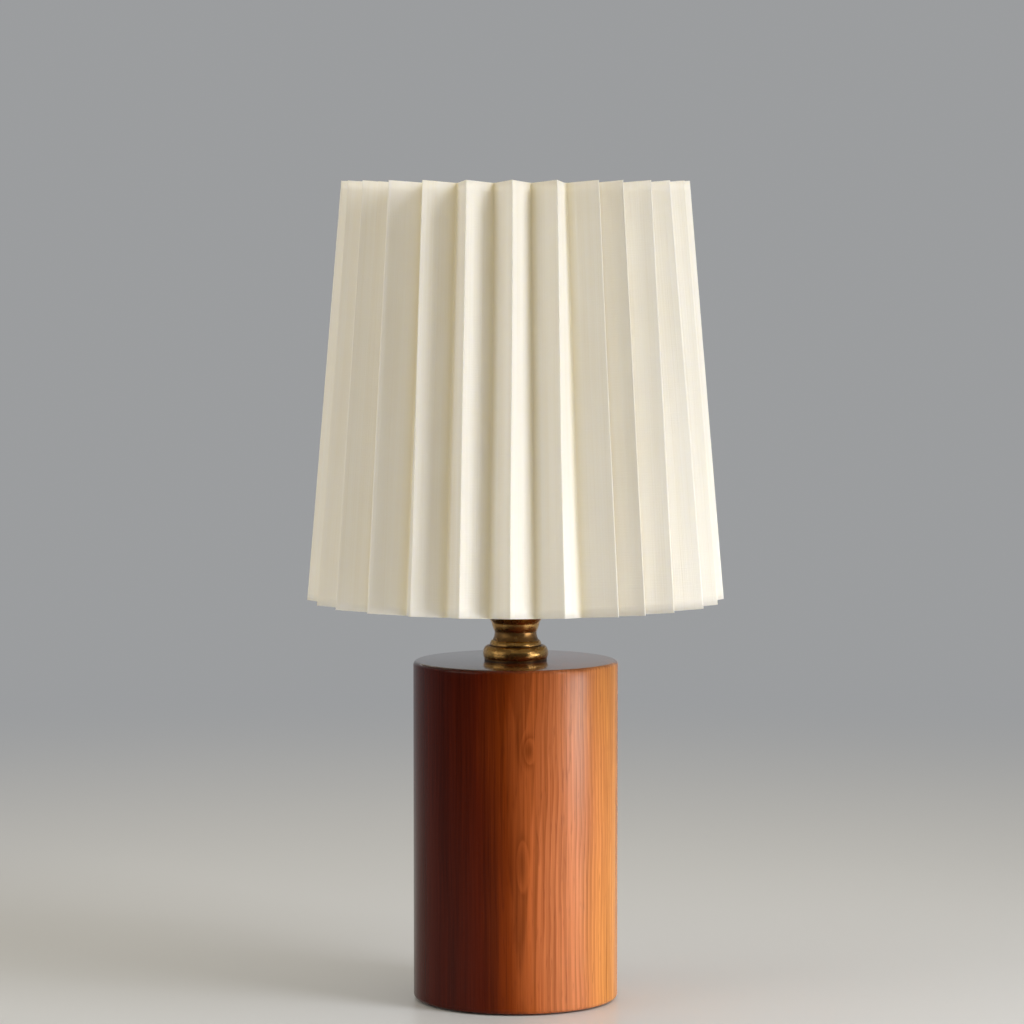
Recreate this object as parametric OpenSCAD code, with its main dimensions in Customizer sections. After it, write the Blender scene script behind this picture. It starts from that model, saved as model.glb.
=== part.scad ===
// Table lamp: turned wooden body, brass neck, screw-cap lampholder with a turn switch,
// candle lamp and a tapered pleated shade. Millimetres, +Z up, the front of the lamp faces -Y.
// The origin is on the axis, in the plane that the felt pad stands on.

/* [Wooden body] */
// Diameter of the turned body
base_d = 100; // [90:1:120]
// Height of the turned body
base_h = 166; // [140:1:200]
// Radius of the eased top and bottom edges
edge_r = 2; // [1:0.5:4]
// Diameter of the recess turned into the underside
recess_d = 56; // [50:1:64]
// Depth of that recess
recess_h = 26; // [24:1:34]
// Thickness of the felt pad
pad_t = 2; // [1.5:0.5:3]
// How far the felt pad stands out below the wood
pad_proud = 0.5; // [0.3:0.1:1]
// Distance from the edge of the pad to the side of the wood
pad_margin = 6; // [4:1:10]

/* [Rod and cord outlet] */
// Outside diameter of the threaded rod tube
tube_d = 10; // [9:0.5:11]
// Bore of the rod tube, where the cord runs
tube_bore = 8; // [6:0.5:8]
// Diameter of the clamping washer under the body
washer_d = 30; // [24:1:36]
// Thickness of the clamping washer
washer_t = 1.5; // [1:0.5:2.5]
// Thickness of the toothed lock washer
lock_washer_t = 0.8; // [0.6:0.2:1.2]
// Thickness of the hexagon nuts on the rod tube
nut_h = 4; // [3:0.5:5]
// Width of the hexagon nuts across their flats
nut_af = 14; // [13:1:16]
// Height of the cord outlet above the underside of the wood
outlet_h = 13; // [12:0.5:14]
// Bore of the cord outlet bush
outlet_bore = 6.2; // [5:0.2:6.4]
// Diameter of the flange on the outlet bush
outlet_flange_d = 14; // [13:1:18]

/* [Brass neck] */
// Diameter of the foot bead
foot_d = 31.8; // [28:0.1:36]
// Height of the foot bead
foot_h = 7.3; // [5:0.1:8]
// Largest diameter of the small bead above the foot
bead_d = 25.2; // [25:0.1:27.5]
// Height of the small bead
bead_h = 3.1; // [2.5:0.1:4]
// Diameter of the waist
waist_d = 20.5; // [19:0.1:21]
// Height of the waist
waist_h = 4; // [3.5:0.1:5.5]
// Diameter at the top of the band, which widens from the waist into the cup
band_d = 23.3; // [21.8:0.1:24]
// Height of the band
band_h = 4; // [2:0.1:4.5]
// Diameter across the rim of the flared cup
rim_d = 39.6; // [39:0.1:41]
// Height of the flared cup
flare_h = 9.6; // [9:0.1:14]
// Wall of the flared cup
cup_wall = 1.5; // [1.2:0.1:2]

/* [Lampholder] */
// Outside diameter of the casing
casing_d = 38.4; // [38:0.1:39]
// Height of the cylindrical part of the casing
casing_h = 22; // [21:0.5:25]
// Wall of the casing
casing_wall = 1.2; // [1:0.1:1.5]
// Height of the threaded skirt above the casing
skirt_h = 30; // [28:0.5:34]
// Depth of the thread on the outside of the skirt
skirt_thread = 0.6; // [0.4:0.1:0.7]
// Pitch of the thread on the outside of the skirt
skirt_pitch = 2.5; // [2:0.25:3]
// Wall of the skirt under its thread
skirt_wall = 2; // [1.6:0.1:2.2]
// Thickness of the porcelain floor
insert_floor = 4; // [3:0.5:5]
// Pitch of the lamp thread, seven turns to the inch
lamp_pitch = 3.62857; // [3.6:0.00857:3.66]
// Diameter over the lamp thread's crests
lamp_thread_d = 26.2; // [26:0.1:26.4]
// Height of one crest of the lamp thread above its mean
lamp_thread_a = 0.5; // [0.4:0.05:0.6]
// Gap between the lamp thread and the screw shell, in phase
lamp_thread_gap = 0.35; // [0.3:0.05:0.4]
// Thickness of the sheet that the screw shell is pressed from
shell_t = 0.4; // [0.3:0.05:0.5]
// Height of the screw shell
shell_h = 21; // [19:0.5:22]

/* [Turn switch] */
// Diameter of the switch shaft
shaft_d = 4; // [3:0.5:5]
// Diameter of the switch knob
knob_d = 13; // [11:0.5:14]
// Length of the switch knob
knob_l = 11; // [8:0.5:14]
// Diameter of the cam inside the switch block
cam_d = 9; // [8:0.5:10]

/* [Shade rings] */
// Outside diameter of the two rings that clamp the shade
ring_d = 49; // [46:0.5:52]
// Height of each clamping ring
ring_h = 4; // [3:0.5:5]
// Number of finger notches round each ring
ring_notches = 24; // [18:1:30]

/* [Pleated shade] */
// Diameter over evenly laid outer folds at the bottom
shade_bottom_d = 206; // [190:1:230]
// Diameter over evenly laid outer folds at the top
shade_top_d = 170.5; // [150:0.5:185]
// Height of the outer folds
shade_h = 203.6; // [180:0.2:230]
// Gap between the wooden body and the outer folds' lower ends
shade_gap = 30; // [28:0.5:34]
// Width of one flat panel between two folds
panel_w = 18.6; // [17:0.1:20]
// Thickness of the laminated cloth
cloth_t = 0.6; // [0.4:0.1:1]
// Diameter of the frame wire
wire_d = 3; // [2:0.5:4]
// Distance of each wire ring from the edge of the cloth
ring_inset = 4; // [3:0.5:8]
// Thickness of the hub plate in the frame
hub_t = 1.5; // [1:0.25:2]
// Number of arms that carry the hub
arm_count = 3; // [3:1:4]

/* [Candle lamp] */
// Largest diameter of the glass
glass_d = 36.6; // [34:0.2:37]
// Length of the glass above the metal cap
glass_h = 72; // [66:1:80]
// Diameter of the glass where it enters the cap
glass_neck_d = 23; // [21:0.5:24]
// Thickness of the glass
glass_t = 0.8; // [0.6:0.1:1]
// Length of the light-emitting filaments
filament_l = 30; // [26:1:32]

/* [Hidden] */

seat = 0.3;        // gap between a piece and the face that it sits on
slack = 0.1;       // radial gap round a piece in its hole
thread_slack = 0.05; // radial gap between a plain-drawn thread and its nut
turn_slack = 0.3;  // radial gap round a piece that turns or lifts
fine = 96;         // facets of a round preview
eps = 0.01;        // overrun of a cutting solid

wood_z0 = pad_proud;
wood_z1 = wood_z0 + base_h;
recess_z = wood_z0 + recess_h;
tube_r = tube_d / 2;

// Clamping stack under the recess ceiling, and the neck above the body.
washer_z = recess_z - seat - washer_t;
lock_washer_z = washer_z - seat - lock_washer_t;
clamp_nut_z = lock_washer_z - seat - nut_h;
tube_tail = 3;
tube_z0 = clamp_nut_z - tube_tail;
neck_z = wood_z1;
bead_z = foot_h;
waist_z = bead_z + bead_h;
band_z = waist_z + waist_h;
flare_z = band_z + band_h;
neck_h = flare_z + flare_h;
cup_floor_t = 1.2;
cup_floor_z = flare_z + cup_floor_t;
neck_nut_h = 3;
neck_nut_z = neck_z + cup_floor_z + seat;

// Lampholder: a casing on the rod tube, a switch block, and a porcelain insert in a skirt.
casing_z = neck_z + neck_h + seat;
casing_r = casing_d / 2;
casing_bore_r = casing_r - casing_wall;
boss_z = neck_nut_z + neck_nut_h + seat;
casing_floor_t = 3;
casing_floor_z = casing_z + casing_floor_t;
casing_top_z = casing_z + casing_h;
tube_z1 = casing_floor_z;
spigot_h = 3.8;
spigot_r = casing_bore_r - slack;
skirt_root_r = casing_r - skirt_thread;
skirt_bore_r = skirt_root_r - skirt_wall;
skirt_lip_h = 2;
skirt_z1 = casing_top_z + skirt_h;
insert_r = skirt_bore_r - slack;
block_r = skirt_bore_r - slack;
block_z0 = casing_floor_z + seat;
insert_z1 = skirt_z1 - skirt_lip_h - seat;
insert_sink = 3.5;
insert_z0 = casing_top_z - insert_sink;
block_z1 = insert_z0 - seat;
floor_z = insert_z0 + insert_floor;
switch_z = (block_z0 + block_z1) / 2;

// Lamp thread: the screw shell follows the lamp's thread at the same gap everywhere.
lamp_mean_r = lamp_thread_d / 2 - lamp_thread_a;
shell_mean_r = lamp_mean_r + lamp_thread_gap;
shell_out_r = shell_mean_r + shell_t + lamp_thread_a;
insert_bore_r = shell_out_r + seat;
contact_rise = 2.4; // height of the centre contact's sprung end above the porcelain floor
lamp_z = floor_z + contact_rise + seat;
shell_z0 = floor_z + seat;
tip_h = 1.2;
cap_glass_h = 4;
cap_z0 = lamp_z + tip_h + cap_glass_h;
cap_thread_h = 15;
cap_h = 21;
glass_z = cap_z0 + cap_h;
glass_sink = 5;

// Shade rings sit on the skirt, with the hub plate between them.
ring_bore_r = casing_r + turn_slack;
ring_rise = 5;
lower_ring_z = casing_top_z + ring_rise;
hub_z = lower_ring_z + ring_h + seat;
upper_ring_z = hub_z + hub_t + seat;
hub_margin = 1;
hub_r = ring_d / 2 + hub_margin;
hub_bore_r = casing_r + turn_slack;

// Turn switch, on an axis along +X.
collar_wall = 2;
collar_r = shaft_d / 2 + collar_wall;
collar_l = 4;
collar_x = casing_r;
cam_l = 8;
cam_x = 4;
knob_gap = 0.5;
knob_x = collar_x + collar_l + knob_gap;
knob_grip = 6;

// Outer folds, in degrees round from the front. The cloth was laid by hand, so they are uneven on
// the side that shows, and its folds twist a little between the two edges. The back is even.
front_bottom_angles = [-87, -70, -56.5, -43, -29, -15, -1.5, 13, 27.5, 35.5, 46.5, 60.5, 73, 90];
front_top_angles = [-88, -72, -59, -45, -31, -16, -1, 13, 27, 36, 48.5, 59.5, 74, 90];
back_count = 13;
function with_back(front) = let (gap = 360 + front[0] - 90)
  concat(front, [for (i = [1 : back_count]) 90 + i * gap / (back_count + 1)]);
fold_count = len(front_bottom_angles) + back_count;
// The fold that follows fold i, and the inner fold between the two.
function following(outer, i) = i + 1 < fold_count ? outer[i + 1] : outer[0] + 360;
function inner_angles(outer) = [for (i = [0 : fold_count - 1]) (outer[i] + following(outer, i)) / 2];

// The inner folds lie on one circle, glued to the wire rings. Where folds are closer together
// the panels stand out further, because every panel has the same width.
even_half = 180 / fold_count;
function inner_fold_r(d) =
  d / 2 * cos(even_half) - sqrt(pow(panel_w, 2) - pow(d / 2 * sin(even_half), 2));
function outer_fold_r(inner_r, half) =
  inner_r * cos(half) + sqrt(pow(panel_w, 2) - pow(inner_r * sin(half), 2));
inner_bottom_r = inner_fold_r(shade_bottom_d);
inner_top_r = inner_fold_r(shade_top_d);
shade_z0 = wood_z1 + shade_gap;
shade_z1 = shade_z0 + shade_h;
shade_lean = (shade_bottom_d - shade_top_d) / 2 / shade_h;
// A panel is a straight strip that leans inwards, so its inner fold sits lower than its outer one.
bottom_dip = shade_lean * (shade_bottom_d / 2 - inner_bottom_r);
top_dip = shade_lean * (shade_top_d / 2 - inner_top_r);
// The cloth's thickness along a radius, which cuts a panel at a slant.
cloth_in = cloth_t * panel_w / (shade_bottom_d / 2 * sin(even_half));
// Radius of the cloth's inner side, at an inner fold, at height z.
inner_lean = (inner_bottom_r - inner_top_r) / (shade_h - top_dip + bottom_dip);
function inside_r(z) = inner_bottom_r - cloth_in - (z - shade_z0 + bottom_dip) * inner_lean;
bottom_wire_z = shade_z0 - bottom_dip + ring_inset + wire_d / 2;
top_wire_z = shade_z1 - top_dip - ring_inset - wire_d / 2;
function wire_r(z) = inside_r(z + wire_d / 2) - seat - wire_d / 2;

function ellipse_arc(r0, z0, a, b, from, to, n) =
  [for (i = [0 : n]) let (t = from + (to - from) * i / n) [r0 + a * cos(t), z0 + b * sin(t)]];

module ring(r_out, r_in, h) {
  difference() {
    cylinder(r = r_out, h = h, $fn = fine);
    translate([0, 0, -1]) cylinder(r = r_in, h = h + 2, $fn = fine);
  }
}

module hex_nut(af, h, bore_r) {
  chamfer_r = 1.4;
  chamfer_h = 0.8;
  difference() {
    intersection() {
      cylinder(r = af / 2 / cos(30), h = h, $fn = 6);
      // The chamfer on both ends of the hexagon.
      rotate_extrude($fn = fine)
        polygon([
          [0, 0], [af / 2, 0], [af / 2 + chamfer_r, chamfer_h], [af / 2 + chamfer_r, h - chamfer_h],
          [af / 2, h], [0, h]
        ]);
    }
    translate([0, 0, -1]) cylinder(r = bore_r, h = h + 2, $fn = fine);
  }
}

// Screw with a slotted cheese head, its head's underside at z 0 and its shank along +Z.
module slotted_screw(head_r, head_h, shank_r, shank_l, slot_w) {
  difference() {
    union() {
      translate([0, 0, -head_h]) cylinder(r = head_r, h = head_h, $fn = fine);
      translate([0, 0, -eps]) cylinder(r = shank_r, h = shank_l + eps, $fn = fine);
    }
    translate([-head_r - 1, -slot_w / 2, -head_h - 1]) cube([2 * head_r + 2, slot_w, 1 + head_h / 2]);
  }
}

// Base

module felt_pad() {
  color("#2b2a28") cylinder(r = base_d / 2 - pad_margin, h = pad_t, $fn = fine);
}

module outlet_axis() {
  // Turns +Z into +Y, from the lamp's axis out through the back of the body.
  translate([0, 0, wood_z0 + outlet_h]) rotate([-90, 0, 0]) children();
}

spot_depth = 1.6; // depth of the flat face cut for the bush's flange
spot_y = base_d / 2 - spot_depth;
spot_r = outlet_flange_d / 2 + seat;
nipple_in = 7;    // how far the nipple reaches into the recess
nipple_y0 = recess_d / 2 - nipple_in;
nipple_y1 = spot_y - seat;
outlet_nut_y = sqrt(pow(recess_d / 2, 2) - pow(nut_af / 2 / cos(30), 2)) - nut_h - seat;

module wood_body() {
  body_r = base_d / 2;
  color("#8a3f16") difference() {
    translate([0, 0, wood_z0])
      rotate_extrude($fn = 180)
        polygon(concat(
          [[0, 0]],
          ellipse_arc(body_r - edge_r, edge_r, edge_r, edge_r, -90, 0, 6),
          ellipse_arc(body_r - edge_r, base_h - edge_r, edge_r, edge_r, 0, 90, 6),
          [[0, base_h]]));
    // Shallow seat for the felt pad.
    translate([0, 0, wood_z0 - 1])
      cylinder(r = base_d / 2 - pad_margin + seat, h = pad_t - pad_proud + 1 + seat, $fn = fine);
    cylinder(r = recess_d / 2, h = recess_z, $fn = fine);
    cylinder(r = tube_r + slack, h = wood_z1 + 1, $fn = fine);
    outlet_axis() cylinder(r = tube_r + slack, h = base_d, $fn = fine);
    outlet_axis() translate([0, 0, spot_y]) cylinder(r = spot_r, h = base_d, $fn = fine);
  }
}

module rod_tube() {
  color("#b9a05a") translate([0, 0, tube_z0]) ring(tube_r, tube_bore / 2, tube_z1 - tube_z0);
}

module clamp_washer() {
  color("#a9abad") translate([0, 0, washer_z]) ring(washer_d / 2, tube_r + slack, washer_t);
}

module lock_washer() {
  tooth_count = 12;
  tooth_r = nut_af / 2 + 1;
  tooth_l = 1.2;
  tooth_gap = 1;
  color("#8f9194") translate([0, 0, lock_washer_z]) difference() {
    ring(tooth_r, tube_r + slack, lock_washer_t);
    for (i = [0 : tooth_count - 1])
      rotate([0, 0, i * 360 / tooth_count])
        translate([tooth_r - tooth_l, -tooth_gap / 2, -1])
          cube([2 * tooth_l, tooth_gap, lock_washer_t + 2]);
  }
}

module clamp_nut() {
  color("#b9a05a") translate([0, 0, clamp_nut_z]) hex_nut(nut_af, nut_h, tube_r + thread_slack);
}

module outlet_nipple() {
  color("#b9a05a") outlet_axis() translate([0, 0, nipple_y0])
    ring(tube_r, tube_bore / 2, nipple_y1 - nipple_y0);
}

module outlet_nut() {
  color("#b9a05a") outlet_axis() translate([0, 0, outlet_nut_y])
    hex_nut(nut_af, nut_h, tube_r + thread_slack);
}

module outlet_bush() {
  sleeve_l = 12;
  flange_t = 3;
  flange_r = outlet_flange_d / 2;
  color("#1d1b19") outlet_axis() difference() {
    translate([0, 0, spot_y - sleeve_l])
      rotate_extrude($fn = fine)
        polygon(concat(
          [[0, 0], [tube_bore / 2 - slack, 0], [tube_bore / 2 - slack, sleeve_l], [flange_r, sleeve_l]],
          ellipse_arc(flange_r - 1, sleeve_l + flange_t - 1, 1, 1, 0, 90, 5),
          [[0, sleeve_l + flange_t]]));
    translate([0, 0, spot_y - sleeve_l - 1])
      cylinder(r = outlet_bore / 2, h = sleeve_l + flange_t + 2, $fn = fine);
  }
}

// Brass neck

flare_power = 1.2; // how strongly the cup's side curves outwards
function flare_r(s) = band_d / 2 + (rim_d - band_d) / 2 * pow(s, flare_power);

module brass_neck() {
  foot_bulge = 2.2;
  foot_in = 0.65;
  band_bulge = 0.15;
  band_out = 0.15;
  groove = 0.5;
  step = 0.25;
  bead_in = 1.7;
  waist_in = 0.8;
  band_foot_r = waist_d / 2 + band_out;
  flare_steps = 14;
  lip = 0.5;
  outside = concat(
    [[foot_d / 2 - foot_in, 0]],
    ellipse_arc(foot_d / 2 - foot_bulge, foot_h / 2, foot_bulge, foot_h / 2, -45, 90, 12),
    [[bead_d / 2 - groove, foot_h + step / 2]],
    ellipse_arc(bead_d / 2 - bead_in, bead_z + step, bead_in, bead_h - 2 * step, 0, 84, 8),
    [for (i = [0 : 8]) let (t = i / 8)
      [waist_d / 2 + waist_in * pow(1 - t, 2.5), waist_z + (waist_h - step) * t]],
    [for (i = [0 : 8]) let (t = i / 8)
      [band_foot_r + (band_d / 2 - band_foot_r) * t + band_bulge * sin(180 * t), band_z + band_h * t]],
    [for (i = [1 : flare_steps]) let (s = i / flare_steps) [flare_r(s), flare_z + (flare_h - lip) * s]],
    [[rim_d / 2, neck_h]]);
  cup_bottom_s = (cup_floor_z - flare_z) / (flare_h - lip);
  inside = concat(
    [[rim_d / 2 - cup_wall, neck_h]],
    [for (i = [flare_steps : -1 : 0]) let (s = cup_bottom_s + (1 - cup_bottom_s) * i / flare_steps)
      [flare_r(s) - cup_wall, flare_z + (flare_h - lip) * s]],
    [[tube_r + slack, cup_floor_z], [tube_r + slack, 0]]);
  color("#8d6a35") translate([0, 0, neck_z])
    rotate_extrude($fn = fine) polygon(concat(outside, inside));
}

module neck_nut() {
  color("#b9a05a") translate([0, 0, neck_nut_z]) hex_nut(nut_af, neck_nut_h, tube_r + thread_slack);
}

// Lampholder

grub_r = 1;
grub_z = (casing_z + casing_floor_z) / 2;

module holder_casing() {
  boss_r = nut_af / 2 + 0.5;
  cup_r = rim_d / 2 - cup_wall - seat;
  edge = 0.5;
  shoulder_in = 0.6;
  shoulder_h = 0.9;
  earth_hole_l = 2.5;
  color("#8d6a35") difference() {
    rotate_extrude($fn = fine)
      polygon([
        [tube_r + thread_slack, boss_z], [boss_r, boss_z],
        [cup_r - shoulder_in - 1, casing_z - seat - shoulder_h], [cup_r - shoulder_in, casing_z],
        [casing_r - edge, casing_z], [casing_r, casing_z + edge], [casing_r, casing_top_z],
        [casing_bore_r, casing_top_z], [casing_bore_r, casing_floor_z],
        [tube_r + thread_slack, casing_floor_z]
      ]);
    // Hole for the shaft of the switch.
    translate([0, 0, switch_z]) rotate([0, 90, 0])
      cylinder(r = shaft_d / 2 + slack, h = casing_d, $fn = fine);
    // Threaded hole for the grub screw that locks the casing on the rod tube.
    translate([0, 0, grub_z]) rotate([90, 0, 0])
      cylinder(r = grub_r + thread_slack, h = casing_d, $fn = fine);
    // Threaded hole for the earth screw.
    translate([earth_x, 0, casing_floor_z - earth_hole_l])
      cylinder(r = earth_shank_r + thread_slack, h = 2 * earth_hole_l, $fn = fine);
  }
}

module casing_grub_screw() {
  sink = 1.1; // how far the screw ends inside the casing's side
  slot_w = 0.4;
  slot_h = 0.8;
  screw_l = casing_r - tube_r - seat - sink;
  color("#a9abad") translate([0, -tube_r - seat, grub_z]) rotate([90, 0, 0]) difference() {
    cylinder(r = grub_r, h = screw_l, $fn = fine);
    translate([-2 * grub_r, -slot_w / 2, screw_l - slot_h]) cube([4 * grub_r, slot_w, 2 * slot_h]);
  }
}

// Small cheese-head screws of the lampholder.
screw_head_r = 2.2;
screw_head_h = 1.4;
screw_slot_w = 0.6;
earth_x = -11;
earth_shank_r = 1.5;

module earth_screw() {
  color("#a9abad") translate([earth_x, 0, casing_floor_z + seat])
    slotted_screw_up(screw_head_r, screw_head_h, earth_shank_r, 2.4);
}

// The same screw with its shank along -Z and its slot on top.
module slotted_screw_up(head_r, head_h, shank_r, shank_l) {
  rotate([180, 0, 0]) slotted_screw(head_r, head_h, shank_r, shank_l, screw_slot_w);
}

module switch_block() {
  conductor_r = 1.8;
  conductor_at = [-4, 9];
  head_room = 0.4; // room round a screw's head
  color("#3a2418") difference() {
    translate([0, 0, block_z0]) cylinder(r = block_r, h = block_z1 - block_z0, $fn = fine);
    // Chamber for the cam, and the way in for the shaft.
    translate([0, 0, switch_z]) rotate([0, 90, 0]) {
      translate([0, 0, cam_x - turn_slack])
        cylinder(r = cam_d / 2 + turn_slack, h = cam_l + 2 * turn_slack, $fn = fine);
      cylinder(r = shaft_d / 2 + slack, h = casing_d, $fn = fine);
    }
    // Slots for the two contact blades beside the cam.
    for (side = [-1, 1])
      translate([cam_x, side * blade_y - (blade_t / 2 + slack), block_z0 - 1])
        cube([cam_l, blade_t + 2 * slack, block_z1 - block_z0 + 2]);
    // Two holes that bring the conductors up from the rod tube, and room for the earth screw.
    for (side = [-1, 1])
      translate([conductor_at[0], side * conductor_at[1], block_z0 - 1])
        cylinder(r = conductor_r, h = block_z1 - block_z0 + 2, $fn = fine);
    translate([earth_x, 0, block_z0 - 1])
      cylinder(r = screw_head_r + 2 * head_room, h = screw_head_h + 2 * head_room + 1, $fn = fine);
    // Room for the heads of the terminal screws.
    for (side = [-1, 1])
      translate([0, side * terminal_y, block_z1 - screw_head_h - 1])
        cylinder(r = screw_head_r + head_room, h = screw_head_h + 2, $fn = fine);
  }
}

blade_t = 0.8;
blade_y = cam_d / 2 + turn_slack + blade_t / 2;

module switch_contacts() {
  inset = 1; // how far each blade ends inside its slot
  color("#c98a4b") for (side = [-1, 1])
    translate([cam_x + inset, side * blade_y - blade_t / 2, block_z0 + inset])
      cube([cam_l - 2 * inset, blade_t, block_z1 - block_z0 - 2 * inset]);
}

module switch_collar() {
  hex_margin = 1.5;
  hex_h = 1.5;
  color("#8d6a35") translate([collar_x + slack, 0, switch_z]) rotate([0, 90, 0]) difference() {
    union() {
      cylinder(r = collar_r + hex_margin, h = hex_h, $fn = 6);
      cylinder(r = collar_r, h = collar_l, $fn = fine);
    }
    translate([0, 0, -1]) cylinder(r = shaft_d / 2 + slack, h = collar_l + 2, $fn = fine);
  }
}

terminal_y = 11.2;
terminal_shank_r = 1.3;
terminal_shank_l = 2.8;
rivet_r = 1.2;

module porcelain_insert() {
  color("#f1eee6") difference() {
    translate([0, 0, insert_z0]) cylinder(r = insert_r, h = insert_z1 - insert_z0, $fn = fine);
    translate([0, 0, floor_z]) cylinder(r = insert_bore_r, h = skirt_h, $fn = fine);
    // Holes for the terminal screws and for the contact's rivet.
    for (side = [-1, 1])
      translate([0, side * terminal_y, insert_z0 - 1])
        cylinder(r = terminal_shank_r + slack, h = terminal_shank_l + 1.4, $fn = fine);
    translate([0, 0, insert_z0 - 1]) cylinder(r = rivet_r + slack, h = insert_floor + 2, $fn = fine);
  }
}

module terminal_screws() {
  color("#b9a05a") for (side = [-1, 1])
    translate([0, side * terminal_y, insert_z0 - slack])
      slotted_screw(screw_head_r, screw_head_h, terminal_shank_r, terminal_shank_l, screw_slot_w);
}

module centre_contact() {
  strip_w = 5;
  strip_t = 0.5;
  z0 = floor_z + slack;
  top = contact_rise - slack;
  // Side view of the strip: flat on the porcelain, with a tongue sprung up from its middle.
  tongue = [
    [-9, 0], [6, 0], [6, strip_t], [1, strip_t + 0.4], [-3, top],
    [-7, top], [-7, top - strip_t], [-3.2, top - strip_t], [-0.4, strip_t], [-9, strip_t]
  ];
  strip_x = 5;
  color("#c98a4b") union() {
    translate([strip_x, strip_w / 2, z0]) rotate([90, 0, 0])
      linear_extrude(height = strip_w) polygon(tongue);
    translate([0, 0, insert_z0 - slack])
      cylinder(r = rivet_r, h = z0 - insert_z0 + slack + strip_t / 2, $fn = fine);
  }
}

// Rounded thread: a wall whose radius runs in a wave round the axis and up it, one wave a pitch.
thread_sides = 36;
thread_rows = 6; // rows of points in one pitch
function wave_r(mean, z, turn) = mean + lamp_thread_a * cos(360 * z / lamp_pitch - turn);

function wave_points(mean, z0, z1, rows) =
  [for (j = [0 : rows], i = [0 : thread_sides - 1])
    let (z = z0 + (z1 - z0) * j / rows, t = 360 * i / thread_sides, r = wave_r(mean, z, t))
    [r * cos(t), r * sin(t), z]];
function thread_row_count(z0, z1) = round((z1 - z0) / lamp_pitch * thread_rows);

// A wall with the thread on its outside, and the thread or a plain bore on its inside.
module threaded_wall(out_r, in_r, z0, z1, threaded_bore) {
  n = thread_sides;
  rows = thread_row_count(z0, z1);
  in_rows = threaded_bore ? rows : 1;
  plain = [for (z = [z0, z1], i = [0 : n - 1]) [in_r * cos(360 * i / n), in_r * sin(360 * i / n), z]];
  bore = threaded_bore ? wave_points(in_r, z0, z1, rows) : plain;
  points = concat(wave_points(out_r, z0, z1, rows), bore);
  m = (rows + 1) * n;
  function at(j, i) = j * n + i % n;
  faces = concat(
    [for (j = [0 : rows - 1], i = [0 : n - 1]) each
      [[at(j, i), at(j + 1, i), at(j + 1, i + 1)], [at(j, i), at(j + 1, i + 1), at(j, i + 1)]]],
    [for (j = [0 : in_rows - 1], i = [0 : n - 1]) each
      [[m + at(j, i), m + at(j + 1, i + 1), m + at(j + 1, i)],
       [m + at(j, i), m + at(j, i + 1), m + at(j + 1, i + 1)]]],
    [for (i = [0 : n - 1]) each
      [[at(rows, i), m + at(in_rows, i), m + at(in_rows, i + 1)],
       [at(rows, i), m + at(in_rows, i + 1), at(rows, i + 1)]]],
    [for (i = [0 : n - 1]) each
      [[at(0, i), m + at(0, i + 1), m + at(0, i)], [at(0, i), at(0, i + 1), m + at(0, i + 1)]]]);
  polyhedron(points = points, faces = faces, convexity = 6);
}

module screw_shell() {
  color("#c9a24e") threaded_wall(shell_mean_r + shell_t, shell_mean_r, shell_z0, shell_z0 + shell_h, true);
}

module holder_skirt() {
  thread_start = 3; // from the casing's top to the first turn
  thread_end = 5;   // plain length above the last turn
  turns = floor((skirt_h - thread_start - thread_end) / skirt_pitch);
  crest_r = casing_r - thread_slack;
  band_top = 1.6;
  edge = 0.8;
  crests = [for (i = [0 : turns - 1]) each
    let (z = casing_top_z + thread_start + i * skirt_pitch) [
      [skirt_root_r, z], [crest_r, z + 0.3 * skirt_pitch],
      [crest_r, z + 0.55 * skirt_pitch], [skirt_root_r, z + 0.85 * skirt_pitch]
    ]];
  lip_r = insert_bore_r + 0.6;
  color("#8d6a35") rotate_extrude($fn = fine)
    polygon(concat(
      [[skirt_bore_r, casing_top_z - spigot_h], [spigot_r, casing_top_z - spigot_h],
       [spigot_r, casing_top_z + seat], [casing_r, casing_top_z + seat],
       [casing_r, casing_top_z + band_top], [skirt_root_r, casing_top_z + band_top + skirt_thread]],
      crests,
      [[skirt_root_r, skirt_z1 - edge], [skirt_root_r - edge, skirt_z1], [lip_r, skirt_z1],
       [lip_r, skirt_z1 - skirt_lip_h], [skirt_bore_r, skirt_z1 - skirt_lip_h]]));
}

module shade_ring(z) {
  notch_r = 1;
  notch_out = 0.35; // how far a notch's centre lies outside the ring
  out_edge = 0.8;
  in_edge = 0.5;
  color("#3a2418") translate([0, 0, z]) difference() {
    rotate_extrude($fn = fine)
      polygon([
        [ring_bore_r + in_edge, 0], [ring_d / 2 - out_edge, 0], [ring_d / 2, out_edge],
        [ring_d / 2, ring_h - out_edge], [ring_d / 2 - out_edge, ring_h],
        [ring_bore_r + in_edge, ring_h], [ring_bore_r, ring_h - in_edge], [ring_bore_r, in_edge]
      ]);
    for (i = [0 : ring_notches - 1])
      rotate([0, 0, i * 360 / ring_notches])
        translate([ring_d / 2 + notch_out, 0, -1]) cylinder(r = notch_r, h = ring_h + 2, $fn = 24);
  }
}

module lower_shade_ring() { shade_ring(lower_ring_z); }
module upper_shade_ring() { shade_ring(upper_ring_z); }

// Turn switch

module switch_shaft() {
  color("#a9abad") translate([cam_x + cam_l + slack, 0, switch_z]) rotate([0, 90, 0])
    cylinder(r = shaft_d / 2, h = knob_x + knob_grip - cam_x - cam_l - slack, $fn = fine);
}

module switch_cam() {
  // A round moulding with a flat on two sides, so that it opens and closes the blades.
  flat_in = 0.8;
  color("#1d1b19") translate([cam_x, 0, switch_z]) rotate([0, 90, 0]) intersection() {
    cylinder(r = cam_d / 2, h = cam_l, $fn = fine);
    translate([-cam_d, -cam_d / 2 + flat_in, -1]) cube([2 * cam_d, cam_d - 2 * flat_in, cam_l + 2]);
  }
}

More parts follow.
